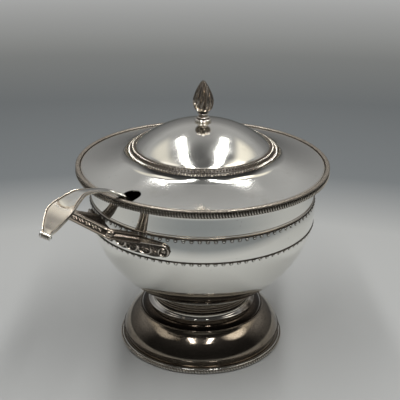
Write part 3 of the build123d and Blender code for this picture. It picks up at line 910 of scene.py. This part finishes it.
def make_bud():
    """The flame-shaped bud: a dark core inside four tiers of overlapping leaves; the dark core is painted
    shade between the leaves.
    """
    base = bud_low.z
    outline = [(2.4, base), (3.3, base), (3.2, base + 1.0, 0.8)]
    outline += arc((4.6, base + 2.0), (1.6, 0.8), -80, 80, 6) + [(3.6, base + 3.1, 0.9)]
    core = []
    for share in shares(BUD_CORE_STEPS):
        height = BUD_CORE_START + (bud_high.z - base - BUD_CORE_START - 0.6) * share
        core.append((max(bud_radius(height) - 1.0, 0.3), base + height, 1.0))
    bm = new_mesh()
    lathe(bm, [(0, base), *outline, *core, (0, bud_high.z - 0.4)], 48)
    for low, high, count, offset in BUD_TIERS:
        for number in range(count):
            width = pi * bud_radius((low + high) / 2) / count * 1.25
            bud_leaf(bm, low, high, offset + 360 * number / count, width)
    finish_piece(bm, "finial_leaves", "lid", "finial_bud", cast_silver, sharp=60)


# ---- handles


GRIP_BAR = 8.5
GRIP_ARM = 12.0
GRIP_CORNER = 10.0
GRIP_HALF = 36.0
GRIP_HEIGHT = 9.0
GRIP_TILT = 24.0
GRIP_ROOT = (COLLAR_RADIUS + 1.5, collar_base - 10.0)
GRIP_START = -9.0
GRIP_SINK = 0.4
GRIP_STEPS = 150
# ARM_DARKENING darkens the arms in colour, most where they are widest: painted shade.
ARM_DARKENING = 0.6
grip_length = (grip_reach - GRIP_ROOT[0]) / cos(radians(GRIP_TILT))
grip_tilt = Matrix.Rotation(radians(-GRIP_TILT), 4, "Y")
grip_place = Matrix.Translation((GRIP_ROOT[0], 0, GRIP_ROOT[1])) @ grip_tilt

# The grip's section, from its lower outer lip over the top, as (inset, height, darkening); the darkening is
# painted shade in the hollows together with patina
GRIP_OUTER = (
    (0.9, 0.0, 0.7), (0.2, 0.5, 0.3), (0.0, 1.1, 0.0), (0.2, 1.7, 0.1), (1.2, 2.2, 0.9),
    (2.1, 2.9, 1.0), (2.3, 5.2, 1.0), (1.9, 7.2, 1.0), (0.9, 7.7, 0.6), (0.5, 8.2, 0.05),
    (0.9, 8.8, 0.0), (1.6, 9.0, 0.1), (2.2, 8.6, 0.7), (2.7, 8.0, 1.0),
)
GRIP_INNER = (
    (2.5, 8.0, 1.0), (1.7, 8.2, 0.9), (1.1, 8.7, 0.35), (0.4, 8.6, 0.3),
    (0.0, 7.9, 0.7), (0.0, 2.0, 0.8), (0.7, 0.8, 0.9), (2.2, 0.2, 0.9),
)


def grip_line(share):
    """Outer line of the grip in its own plane: a place, its outward direction, and the width there."""
    straight = GRIP_HALF - GRIP_CORNER
    turn_x = grip_length - GRIP_CORNER
    arm = turn_x - GRIP_START
    corner = GRIP_CORNER * pi / 2
    total = 2 * (arm + corner + straight)
    at = share * total
    side = -1 if at > total / 2 else 1
    if side < 0:
        at = total - at
    if at < arm:
        return Vector((GRIP_START + at, side * GRIP_HALF, 0)), ACROSS * side, GRIP_ARM
    if at < arm + corner:
        angle = pi / 2 - (at - arm) / GRIP_CORNER
        out = polar(1, side * angle)
        blend = (at - arm) / corner
        width = GRIP_ARM + (GRIP_BAR - GRIP_ARM) * blend * blend * (3 - 2 * blend)
        return Vector((turn_x, side * straight, 0)) + out * GRIP_CORNER, out, width
    return Vector((grip_length, side * (straight - (at - arm - corner)), 0)), OUTWARD, GRIP_BAR


def outside_bowl(place):
    """Keeps a point out of the bowl's wall."""
    limit = belly_radius(place.z) - GRIP_SINK
    radius = hypot(place.x, place.y)
    if radius < limit:
        return Vector((place.x * limit / radius, place.y * limit / radius, place.z))
    return place


def on_bowl(turn, height, lift=0.0):
    """A point on the bowl's outside, turned by degrees from +X."""
    return polar(belly_radius(height) + lift, radians(turn), height)


def clear_of_bowl(place, gap=1.5):
    """Whether a place in the grip's own frame stands off the bowl."""
    spot = grip_place @ place
    return hypot(spot.x, spot.y) > belly_radius(spot.z) + gap


def make_grip(bm):
    """The U-shaped grip with its moulded section; its arms are darker in colour, painted shade."""
    rings = []
    for share in shares(GRIP_STEPS):
        place, out, width = grip_line(share)
        dimming = ARM_DARKENING * (width - GRIP_BAR) / (GRIP_ARM - GRIP_BAR)
        section = [*GRIP_OUTER, *((width - inset, height, shade) for inset, height, shade in GRIP_INNER)]
        rings.append([])
        for inset, height, shade in section:
            rings[-1].append((place - out * inset + UP * height, shade + (1 - shade) * dimming))
    shell(bm, rings)


FASCIA_MIDDLE = 4.9
ROSETTE_PITCH = 10.4
FLOWER_RADIUS = 2.8
FASCIA_STEPS = 64
TOP_STEPS = 56
TOP_GAP = 6.0


def rosette(bm, place, out):
    """A small five-petalled flower facing outwards."""
    side = UP.cross(out)
    sizes = [FLOWER_RADIUS * share for share in (0.34, 0.46, 0.42)]
    for petal in range(5):
        angle = radians(90 + 72 * petal)
        along = side * cos(angle) + UP * sin(angle)
        leaflet(bm, place + along * FLOWER_RADIUS * 0.58, along, out, sizes)
    knob(bm, place + out * 0.4, out, FLOWER_RADIUS * 0.27, FLOWER_RADIUS * 0.45)


def leaf_pair(bm, place, out):
    """Two curled leaves that lean apart, between two flowers."""
    for lean in (UP.cross(out) * -1, UP.cross(out)):
        along = (UP + lean * 0.7).normalized()
        leaflet(bm, place + lean, along, out, (0.85, 2.6, 1.3))
        knob(bm, place + lean + along * 1.9, out, 0.95, 1.5, segments=(7, 5))


def make_fascia(bm):
    """Relief on the grip's outer face: flowers and leaf pairs, a curl at each corner, blades on the arms."""
    for number in range(-2, 3):
        rosette(bm, Vector((grip_length - 2.1, number * ROSETTE_PITCH, FASCIA_MIDDLE)), OUTWARD)
    for number in range(-2, 2):
        leaf_pair(bm, Vector((grip_length - 2.1, (number + 0.5) * ROSETTE_PITCH, FASCIA_MIDDLE)), OUTWARD)
    for side in (-1, 1):
        facing = Vector((1, side * 1.2, 0)).normalized()
        along = Vector((-facing.y, facing.x, -0.6 * side)).normalized()
        curl = Vector((grip_length - 3.9, side * (GRIP_HALF - 3.4), FASCIA_MIDDLE + 0.2))
        lobe(bm, curl, facing.cross(along), along, facing, (2.3, 3.9, 2.2), (0.9, 0.0))
        for shift, high in ((2.4, 1.9), (-2.4, -1.9)):
            knob(bm, curl + UP.cross(facing) * shift + UP * high, facing, 1.5, 1.9)
    for share in shares(FASCIA_STEPS)[2:-2]:
        place, out, _ = grip_line(share)
        middle = place - out * 2.0 + UP * FASCIA_MIDDLE
        if place.x > grip_length - GRIP_CORNER + 1 or not clear_of_bowl(middle):
            continue
        along = (UP + UP.cross(out) * (0.8 if place.y > 0 else -0.8)).normalized()
        leaflet(bm, middle, along, out, (0.95, 2.9, 1.5), 0.05)


def make_top_leaves(bm):
    """Acanthus ribs on the top of the arms and corners, on either side of a central vein."""
    for side in (-1, 1):
        def vein(share, side=side):
            place, out, width = grip_line(0.5 - side * (0.5 - (0.07 + 0.36 * share)))
            return place - out * (width * 0.52) + UP * (GRIP_HEIGHT - 0.6)

        tube(bm, vein, lambda share: 0.85 - 0.4 * share, 44, tarnish_and_shade=0.15)
    for share in shares(TOP_STEPS)[3:-3]:
        place, out, width = grip_line(share)
        if abs(place.y) < TOP_GAP:
            continue
        tangent = UP.cross(out) * (1 if place.y > 0 else -1)
        for flank in (-1, 1):
            along = (tangent * -0.8 + out * flank).normalized()
            centre = place - out * (width * 0.52 - flank * width * 0.17) + UP * (GRIP_HEIGHT - 1.0)
            if clear_of_bowl(centre, 0.5):
                leaflet(bm, centre, along, UP, (0.95, width * 0.21, 1.1), 0.55)


MOUNT_START = 0.9
MOUNT_END = 31.6
MOUNT_TOP = 168.4
MOUNT_LOW = 149.9
SCROLL_TURN = 28.0
SCROLL_HEIGHT = 158.2
SCROLL_RADIUS = 7.0
RIDGE_SHARE = 0.45
MOUNT_STEPS = 56
MOUNT_ROWS = 10

# Scalloped lobes of the mount, as (turn of the middle, half width in degrees, half height)
SCALLOPS = ((4.6, 3.2, 5.2), (11.6, 3.4, 5.8), (19.0, 3.3, 5.4))


def mount_edges(turn):
    """Lower and upper edge of the leaf mount at a turn from the handle's middle."""
    reach = (turn - SCROLL_TURN) * radians(1) * BELLY_RADIUS
    if turn > SCROLL_TURN:
        half = sqrt(max(SCROLL_RADIUS**2 - reach**2, 0.0)) + 0.2
        return SCROLL_HEIGHT - half, SCROLL_HEIGHT + half
    share = (turn - MOUNT_START) / (SCROLL_TURN - MOUNT_START)
    scallop = abs(sin(pi * (share * 3.1 + 0.05)))
    low = MOUNT_LOW + 4.2 * (1 - scallop**0.6) * (1 - 0.6 * share)
    top = MOUNT_TOP - 6.3 * max(0.0, 0.35 - share) / 0.35 - 1.5 * share**4
    opening = min(1.0, (turn - MOUNT_START) / 1.6)
    middle = (low + top) / 2
    return middle - (middle - low) * opening, middle + (top - middle) * opening


def make_mount_plate(bm, side):
    """The leaf-shaped plate that carries an arm of the handle on the bowl."""
    rings = []
    for along in shares(MOUNT_STEPS):
        turn = MOUNT_START + (MOUNT_END - MOUNT_START) * along
        low, high = mount_edges(turn)
        ring = []
        for share in shares(MOUNT_ROWS):
            crown = sin(pi * share) ** 0.5
            rib = 0.5 + 0.5 * cos(2 * pi * (turn * 0.62 + share * 1.1))
            lift = 0.2 + crown * (1.0 + 0.55 * rib)
            # The plate is dark in colour, lighter only on the crowns of its ribs, and dark at its edge:
            # painted shade together with patina.
            ring.append((on_bowl(side * turn, low + (high - low) * share, lift), 1.0 - 0.3 * rib * crown))
        for part in range(3):
            share = 1 - (part + 0.5) / 3
            ring.append((on_bowl(side * turn, low + (high - low) * share, -0.5), 0.9))
        rings.append(ring)
    shell(bm, rings)


def level_facing(place):
    """The level direction that faces away from the axis at a place."""
    return Vector((place.x, place.y, 0)).normalized()


def mount_rib(bm, side, place, angle, length, crown):
    """A small rib that lies at an angle on the mount."""
    facing = level_facing(place)
    along = (UP.cross(facing) * side * cos(angle) + UP * sin(angle)).normalized()
    leaflet(bm, place, along, facing, (0.8, length, 1.2), crown)


def make_mount_scrolls(bm, side):
    """Raised scrolls on the mount: a long ridge that ends in a spiral, and three scalloped lobes."""
    degree = radians(1) * BELLY_RADIUS
    spiral = SCROLL_RADIUS - 0.3

    def ridge(share):
        if share < RIDGE_SHARE:
            turn = 3.0 + (SCROLL_TURN - 3.0) * share / RIDGE_SHARE
            return on_bowl(side * turn, SCROLL_HEIGHT + spiral - 5.5 * (1 - share / RIDGE_SHARE) ** 2, 2.3)
        wind = (share - RIDGE_SHARE) / (1 - RIDGE_SHARE)
        radius = spiral - (SCROLL_RADIUS - 2.2) * wind
        angle = radians(90 - 500 * wind)
        turn = SCROLL_TURN + radius * cos(angle) / degree
        return on_bowl(side * turn, SCROLL_HEIGHT + radius * sin(angle), 2.3)

    tube(bm, ridge, lambda share: 1.05 - 0.35 * share, 110, tarnish_and_shade=0.05, reference=OUTWARD)
    eye = on_bowl(side * SCROLL_TURN, SCROLL_HEIGHT, 1.6)
    knob(bm, eye, level_facing(eye), 1.7, 1.6, foot=0.6)
    for middle, across, high in SCALLOPS:
        def scallop(share, middle=middle, across=across, high=high):
            angle = radians(160 + 235 * share)
            turn = middle + across * cos(angle)
            return on_bowl(side * turn, SCROLL_HEIGHT - 0.6 + high * sin(angle), 1.9)

        tube(bm, scallop, lambda share: 0.95 - 0.3 * share, 40, tarnish_and_shade=0.02, reference=OUTWARD)
        for angle in (radians(200 + 45 * rib) for rib in range(4)):
            turn, height = middle + 0.5 * across * cos(angle), SCROLL_HEIGHT + 0.8 + 0.5 * high * sin(angle)
            mount_rib(bm, side, on_bowl(side * turn, height, 1.3), angle, 2.3, 0.15)
    for number in range(4):
        angle = radians(210 + 38 * number)
        turn, height = 23.0 + 0.2 * number + 1.2 * cos(angle), SCROLL_HEIGHT + 2.6 * sin(angle)
        mount_rib(bm, side, on_bowl(side * turn, height, 1.2), angle, 2.6, 0.2)


# HANDLE_DARKENING darkens the whole cast handle in colour: painted shade for the shade among its relief, over
# its patina.
HANDLE_DARKENING = 0.28

# Sweeping leaves, as (turn at the start, turn at the end, height, thickness)
FLOW_LEAVES = ((12.0, 29.5, 167.4, 1.0), (13.5, 27.0, 166.0, 0.85), (16.0, 31.0, 164.9, 0.8))


def make_flowing_leaves(bm, side):
    """Long narrow leaves that sweep from the root of the arm to the end of the mount."""
    for start, end, height, size in FLOW_LEAVES:
        def blade(share, start=start, end=end, height=height):
            return on_bowl(side * (start + (end - start) * share), height - 2.2 * share**3, 2.5 - 0.8 * share)

        tube(bm, blade, lambda share, size=size: size * (1.1 - 0.5 * share), 30, tarnish_and_shade=0.12)


def make_handle(name, node, turn):
    """A cast handle: grip, its relief, and the two mounts on the bowl."""
    bm = new_mesh()
    make_fascia(bm)
    make_top_leaves(bm)
    make_grip(bm)
    bmesh.ops.transform(bm, matrix=grip_place, verts=bm.verts)
    for vert in bm.verts:
        vert.co = outside_bowl(vert.co)
    for side in (-1, 1):
        make_mount_plate(bm, side)
        make_mount_scrolls(bm, side)
        make_flowing_leaves(bm, side)
    # Darken the whole handle in colour: painted shade.
    layer = bm.verts.layers.float["tarnish_and_shade"]
    for vert in bm.verts:
        vert[layer] = HANDLE_DARKENING + (1 - HANDLE_DARKENING) * vert[layer]
    turned_about(bm, turn)
    finish_piece(bm, name, "tureen", node, cast_silver, sharp=50)


# ---- ladle


LADLE_BOWL_RADIUS = 43.0
LADLE_BOWL_DEPTH = 30.0
LADLE_WALL = 1.2
LADLE_THICKNESS = 3.4
LADLE_TURN = 8.25
SHIELD_LENGTH = 12.0
SHIELD_HALF = 8.5
STEM_HALF = 3.6
STEM_SLOPE = 60.2
STEM_TOP = (115.5, 198.2)
BLADE_REACH = 112.0
BLADE_HALF = 15.2
TIP_CURL = 3.2
TIP_LENGTH = 11.0
TIP_STEPS = 24

# The ladle's bent upper part, as (reach, rise) from the top of the stem in shares of its reach
LADLE_BEND = (
    (0.079, 0.082), (0.174, 0.143), (0.329, 0.224), (0.567, 0.287), (0.692, 0.268),
    (0.837, 0.206), (0.924, 0.130), (1.0, 0.05),
)

# Half width of the blade along the ladle's reach, as (share of reach, share of its flare)
BLADE_OUTLINE = (
    (0.09, 0.0), (0.27, 0.04), (0.43, 0.14), (0.59, 0.36), (0.70, 0.66),
    (0.837, 1.0), (0.924, 0.66), (1.018, 0.10),
)
CREASE_SHARE = 0.80
CREASE_BOW = 0.075
CREASE_WIDTH = 1.6
CREASE_DEPTH = 0.5
HANDLE_STEPS = 300

ladle_base = bowl_low.z + WALL + 0.3
ladle_rim = ladle_base + LADLE_BOWL_DEPTH


def stem_reach(height):
    """Reach of the straight stem from the axis at a height."""
    return STEM_TOP[0] - (STEM_TOP[1] - height) / tan(radians(STEM_SLOPE))


def make_ladle_bowl():
    """The ladle's round bowl: a shallow spherical cap with a wall."""
    lean = LADLE_THICKNESS / 2 / sin(radians(STEM_SLOPE))
    centre = stem_reach(ladle_rim) - lean + 0.6 - LADLE_BOWL_RADIUS
    sphere = (LADLE_BOWL_RADIUS**2 + LADLE_BOWL_DEPTH**2) / (2 * LADLE_BOWL_DEPTH)
    middle = ladle_base + sphere
    opening = degrees(acos((middle - ladle_rim) / sphere))
    inner_opening = degrees(acos((middle - ladle_rim) / (sphere - LADLE_WALL)))
    outside = arc((0, middle), sphere, -90, -90 + opening, 30)
    inside = arc((0, middle), sphere - LADLE_WALL, -90 + inner_opening, -90, 30)
    bm = new_mesh()
    lathe(bm, outside + inside, 128)
    bmesh.ops.translate(bm, vec=(centre, 0, 0), verts=bm.verts)
    turned_about(bm, 180 + LADLE_TURN)
    finish_piece(bm, "ladle_cup", "ladle", "ladle_bowl", ladle_silver)


def spread(points, at):
    """Reads a smooth value at a position from (position, value) pairs, without overshoot."""
    grades = [(high - low) / (right - left) for (left, low), (right, high) in zip(points, points[1:])]
    slopes = [0.0]
    for before, after in zip(grades, grades[1:]):
        slopes.append(2 * before * after / (before + after) if before * after > 0 else 0.0)
    slopes.append(0.0)
    at = min(max(at, points[0][0]), points[-1][0])
    index = 0
    while at > points[index + 1][0]:
        index += 1
    (left, low), (right, high) = points[index], points[index + 1]
    run = right - left
    part = (at - left) / run
    rest = 1 - part
    value = low * rest**2 * (1 + 2 * part) + high * part**2 * (1 + 2 * rest)
    return value + run * part * rest * (slopes[index] * rest - slopes[index + 1] * part)


def ladle_half_width(reach):
    """Half width of the handle at a reach from the ladle's axis."""
    foot = stem_reach(ladle_rim - SHIELD_LENGTH)
    points = [(foot, SHIELD_HALF), (foot + 16.0, STEM_HALF + 0.6), ((foot + STEM_TOP[0]) / 2, STEM_HALF)]
    for along, share in BLADE_OUTLINE:
        points.append((STEM_TOP[0] + BLADE_REACH * along, STEM_HALF + (BLADE_HALF - STEM_HALF) * share))
    return spread(points, reach)


# Threaded border of the blade, from its edge inwards, as (inset, lift, darkening); the darkening is painted
# shade in the grooves together with patina
BLADE_THREADS = (
    (0.0, 0.0, 0.6), (0.3, 1.0, 0.25), (0.8, 1.6, 0.1), (1.2, 1.4, 0.6), (1.6, 0.5, 1.0),
    (2.9, 0.4, 1.0), (3.3, 0.9, 0.5), (3.9, 0.9, 0.12),
)
STEM_CROWN = 2.3


def blade_section(half):
    """Ring of (across, lift, darkening) points: threaded borders and a flat field, rounded on the stem; the
    darkening is painted shade in the grooves with patina.
    """
    flat = min(max((half - 4.2) / 4.0, 0.0), 1.0)
    border = BLADE_THREADS[-1][0]
    thread = min(border, half * 0.45)

    def rounded(across):
        return STEM_CROWN * sqrt(max(0.0, 1 - (across / (half + 0.2)) ** 2)) * (1 - flat)

    def threads(side, rows):
        edge = [(side * (half - inset * thread / border), lift, shade) for inset, lift, shade in rows]
        return [(across, rounded(across) + lift * flat, shade * flat) for across, lift, shade in edge]

    ring = threads(-1, BLADE_THREADS)
    for share in (-0.6, -0.2, 0.2, 0.6):
        across = share * (half - thread)
        ring.append((across, rounded(across) + (0.85 + 0.15 * (1 - share**2)) * flat, 0.0))
    ring += threads(1, BLADE_THREADS[::-1])
    for share in (0.95, 0.6, 0.2, -0.2, -0.6, -0.95):
        ring.append((share * half, -0.9 - 0.7 * sqrt(max(0.0, 1 - share**2)), 0.2))
    return ring


def crease_line(across):
    """Share of the blade's reach at which its crease crosses, bowed towards the edges."""
    return CREASE_SHARE - CREASE_BOW * (across / BLADE_HALF) ** 2


def make_ladle_handle():
    """The ladle's handle: a shield on the cup, a slim stem, and a broad threaded blade bent over the rim."""
    foot_height = ladle_rim - SHIELD_LENGTH
    foot = Vector((stem_reach(foot_height), 0, foot_height))
    top = Vector((STEM_TOP[0], 0, STEM_TOP[1]))
    stem = [foot.lerp(top, share) for share in shares(6)]
    bend = [top + Vector((along, 0, rise)) * BLADE_REACH for along, rise in LADLE_BEND]
    path = through(stem + bend)
    bm = new_mesh()
    rings = []
    for share in shares(HANDLE_STEPS):
        centre = path(share)
        tangent = direction(path, share, 0.003)
        normal = Vector((-tangent.z, 0, tangent.x))
        if normal.z < 0 and centre.x > top.x:
            normal = -normal
        half = ladle_half_width(centre.x)
        along = (centre.x - top.x) / BLADE_REACH
        ring = []
        for across, lift, shade in blade_section(half):
            crease = 0.0
            if abs(across) < half - 2.7 and lift > 0 and along > 0.5:
                gap = (along - crease_line(across)) * BLADE_REACH
                crease = max(0.0, 1 - abs(gap) / CREASE_WIDTH)
            place = centre + ACROSS * across + normal * (lift - CREASE_DEPTH * crease)
            # The crease is dark in colour too: painted shade in its groove.
            ring.append((place, max(shade, crease)))
        rings.append(ring)
    worn = bm.verts.layers.float["worn"]
    for vert in shell(bm, rings):
        past = (vert.co.x - top.x) / BLADE_REACH - crease_line(vert.co.y)
        if past > 0 and abs(vert.co.y) < ladle_half_width(vert.co.x) - 2.4:
            vert[worn] = min(1.0, past * 25)
    make_tip_scroll(bm, bend[-1])
    turned_about(bm, 180 + LADLE_TURN)
    finish_piece(bm, "ladle_stem", "ladle", "ladle_handle", ladle_silver, sharp=45)


def make_tip_scroll(bm, tip):
    """The rolled end of the blade, fluted like a small shell with an eye at each end."""
    def about_tip(radius, angle, across):
        return tip + Vector((radius * cos(angle), across, radius * sin(angle)))

    rings = []
    for share in shares(TIP_STEPS):
        swell = sqrt(max(0.0, 1 - abs(2 * share - 1) ** 5))
        groove = 0.5 - 0.5 * cos(2 * pi * share * 5)
        radius = (TIP_CURL - 0.45 * groove) * max(swell, 0.02)
        across = (share - 0.5) * TIP_LENGTH
        # The flutes are dark in colour: painted shade in the grooves together with patina.
        rings.append([(about_tip(radius, angle, across), 0.85 * groove) for angle in turns(28)])
    shell(bm, rings)
    for side in (-1, 1):
        def curl(share, side=side):
            return about_tip(0.7 + 2.3 * share, radians(60 - 500 * share), side * (TIP_LENGTH / 2 + 0.1))

        tube(bm, curl, lambda _: 0.45, 36, 5, reference=ACROSS)


# ---- pieces


make_bowl()
make_rim_border()
make_band("upper_scallops", "upper_band", upper_top)
make_band("lower_scallops", "lower_band", lower_top)
make_handle("right_handle", "handle_right", 0)
make_handle("left_handle", "handle_left", 180)
make_neck()
make_foot()
make_foot_border()
make_lid()
make_lid_border()
make_finial_base()
make_bud()
make_ladle_bowl()
make_ladle_handle()

fasteners = {node: fastener_silver for node in ("finial_stud", "finial_washer", "finial_nut")}
for node, material in {**fasteners, "lid_bezel": lid_silver}.items():
    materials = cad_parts[node].data.materials
    materials.clear()
    materials.append(material)


# ---- studio


STUDIO_HEIGHT = 1.25
CAMERA_PLACE = (-0.6533, -0.6765, 0.5653)
CAMERA_LENS = 84.915
CAMERA_PAN = 0.15
CAMERA_TILT = 23.15
CAMERA_ROLL = 0.5


def in_studio(right, away, height):
    """A place given from where the camera stands: to its right, away from it, and up."""
    return Matrix.Rotation(radians(VIEW_TURN), 3, "Z") @ Vector((right, away, height))


def make_camera():
    """The camera, a little above the lid and turned to the front-left handle."""
    data = bpy.data.cameras.new("camera")
    data.sensor_width = 36
    data.lens = CAMERA_LENS
    data.clip_start = 0.05
    data.clip_end = 60
    camera = place_object("camera", data)
    heading = Matrix.Rotation(radians(VIEW_TURN + CAMERA_PAN), 4, "Z")
    tilt = Matrix.Rotation(radians(90 - CAMERA_TILT), 4, "X")
    roll = Matrix.Rotation(radians(CAMERA_ROLL), 4, "Z")
    camera.matrix_world = Matrix.Translation(CAMERA_PLACE) @ heading @ tilt @ roll
    bpy.context.scene.camera = camera


LAMP_RATIO = 0.30
LAMP_SPLAY = 4.0
LAMP_SIZE = (0.105, 1.68)
LAMP_RADIANCE = 20.0
LAMP_ONWARD = -0.17
LID_LEVEL = 0.22


def make_lamp(name, side):
    """One long ceiling lamp that shines straight down, hidden from the camera itself."""
    data = bpy.data.lights.new(name, "AREA")
    data.shape = "RECTANGLE"
    data.size, data.size_y = LAMP_SIZE
    data.energy = LAMP_RADIANCE * pi * LAMP_SIZE[0] * LAMP_SIZE[1]
    data.color = (1.0, 1.0, 0.985)
    lamp = place_object(name, data)
    place = in_studio(side * LAMP_RATIO * (STUDIO_HEIGHT - LID_LEVEL), LAMP_ONWARD, STUDIO_HEIGHT)
    heading = Matrix.Rotation(radians(VIEW_TURN - side * LAMP_SPLAY), 4, "Z")
    lamp.matrix_world = Matrix.Translation(place) @ heading
    lamp.visible_camera = False


def make_lamps():
    """Two long ceiling lamps, a little further apart at their far ends."""
    make_lamp("left_strip", -1)
    make_lamp("right_strip", 1)


# Greys of the room ahead and behind, as (height of the direction, level)
FAR_GREYS = ((0.0, 0.13), (0.3, 0.21), (0.5, 0.375), (0.68, 0.33), (0.85, 0.265), (1.0, 0.09))
NEAR_GREYS = ((0.0, 0.022), (0.4, 0.03), (0.8, 0.06), (1.0, 0.09))
BACKDROP = (0.36, 0.375, 0.38, 1)
SIDE_GLOW = (0.95, 0.90, 0.78, 1)
WINDOW_RATIO = 0.80
WINDOW_ONWARD = -0.16


def make_world():
    """A dim room seen in reflections: dark behind the camera, grey ahead and overhead."""
    world = bpy.data.worlds.new("room")
    bpy.context.scene.world = world
    world.use_nodes = True
    tree = world.node_tree
    background = tree.nodes["Background"]
    direction = add(tree, "ShaderNodeTexCoord").outputs["Generated"]
    parts = add(tree, "ShaderNodeSeparateXYZ", None, Vector=turned_back(tree, direction)).outputs
    far = ramp(tree, parts["Z"], FAR_GREYS)
    near = ramp(tree, parts["Z"], NEAR_GREYS)
    seen = blend_colours(tree, between(tree, parts["Y"], -0.25, 0.45), near, far)
    height = maths(tree, "MAXIMUM", parts["Z"], 0.05)
    rightward = maths(tree, "DIVIDE", parts["X"], height)
    onward = maths(tree, "DIVIDE", parts["Y"], height)
    sideways = maths(tree, "ABSOLUTE", rightward)
    glow = product(
        tree,
        between(tree, sideways, 0.5, 0.66),
        between(tree, sideways, 0.8, 1.25, 1.0, 0.0),
        between(tree, onward, -0.25, 0.2),
        between(tree, onward, 0.7, 1.2, 1.0, 0.0),
        between(tree, parts["X"], -0.1, 0.1, 0.62, 1.0),
    )
    seen = blend_colours(tree, glow, seen, SIDE_GLOW)
    gap = maths(tree, "SUBTRACT", onward, WINDOW_ONWARD)
    for side, level in ((1, 2.3), (-1, 1.0)):
        offset = maths(tree, "SUBTRACT", rightward, side * WINDOW_RATIO)
        square = maths(tree, "MULTIPLY_ADD", offset, offset, maths(tree, "MULTIPLY", gap, gap))
        window = between(tree, maths(tree, "SQRT", square), 0.16, 0.46, 1.0, 0.0)
        seen = blend_colours(tree, window, seen, (level, 0.96 * level, 0.88 * level, 1))
    path = add(tree, "ShaderNodeLightPath").outputs["Is Camera Ray"]
    connect(tree, blend_colours(tree, path, seen, BACKDROP), background.inputs["Color"])
    background.inputs["Strength"].default_value = 1.0


FLOOR_RADIUS = 9.0
FLOOR_SQUEEZE = 0.62
FLOOR_REACH = 2.5
NEAR_PAPER_PAINTED_POOL = (0.375, 0.38, 0.38)
DIM_PAPER_PAINTED_FALLOFF = (0.172, 0.186, 0.196)
FAR_PAPER_PAINTED_FALLOFF = (0.20, 0.21, 0.205)

# Colours and painted glow of the floor, at shares of its reach: a painted pool of light near the object,
# dimming further off
PAPER_COLOURS_PAINTED_LIGHT = (
    (0.0, NEAR_PAPER_PAINTED_POOL), (0.125, NEAR_PAPER_PAINTED_POOL), (0.20, DIM_PAPER_PAINTED_FALLOFF), (0.36, DIM_PAPER_PAINTED_FALLOFF), (0.55, FAR_PAPER_PAINTED_FALLOFF),
)
PAINTED_GLOW_GREYS = ((0.2, 0.0), (0.36, 0.0), (0.50, 0.07), (0.60, 0.16), (0.80, 0.31))


def make_floor():
    """A pale paper floor with a painted pool of light, brightest close to the object and dimmer behind it,
    and a painted glow further off that only the camera sees.
    """
    bm = bmesh.new()
    bmesh.ops.create_circle(bm, cap_ends=True, radius=FLOOR_RADIUS, segments=96)
    mesh = bpy.data.meshes.new("floor")
    bm.to_mesh(mesh)
    bm.free()
    material, tree, shader = new_material("floor_paper_painted_light")
    shader.inputs["Roughness"].default_value = 0.9
    shader.inputs["Specular IOR Level"].default_value = 0.2
    reach = scaled_length(tree, turned_back(tree, object_place(tree)), (FLOOR_SQUEEZE, 1, 1))
    scaled = maths(tree, "DIVIDE", reach, FLOOR_REACH)
    connect(tree, ramp(tree, scaled, PAPER_COLOURS_PAINTED_LIGHT), shader.inputs["Base Color"])
    # Painted glow: the floor emits light that only camera rays see.
    connect(tree, ramp(tree, scaled, PAINTED_GLOW_GREYS), shader.inputs["Emission Color"])
    seen = add(tree, "ShaderNodeLightPath").outputs["Is Camera Ray"]
    connect(tree, seen, shader.inputs["Emission Strength"])
    bumped(tree, shader, Strength=0.15, Distance=0.0005, Height=noise(tree, 400.0, 4.0))
    mesh.materials.append(material)
    place_object("floor", mesh)


make_camera()
make_lamps()
make_world()
make_floor()
bpy.context.scene.view_settings.view_transform = "Standard"

bpy.context.view_layer.update()
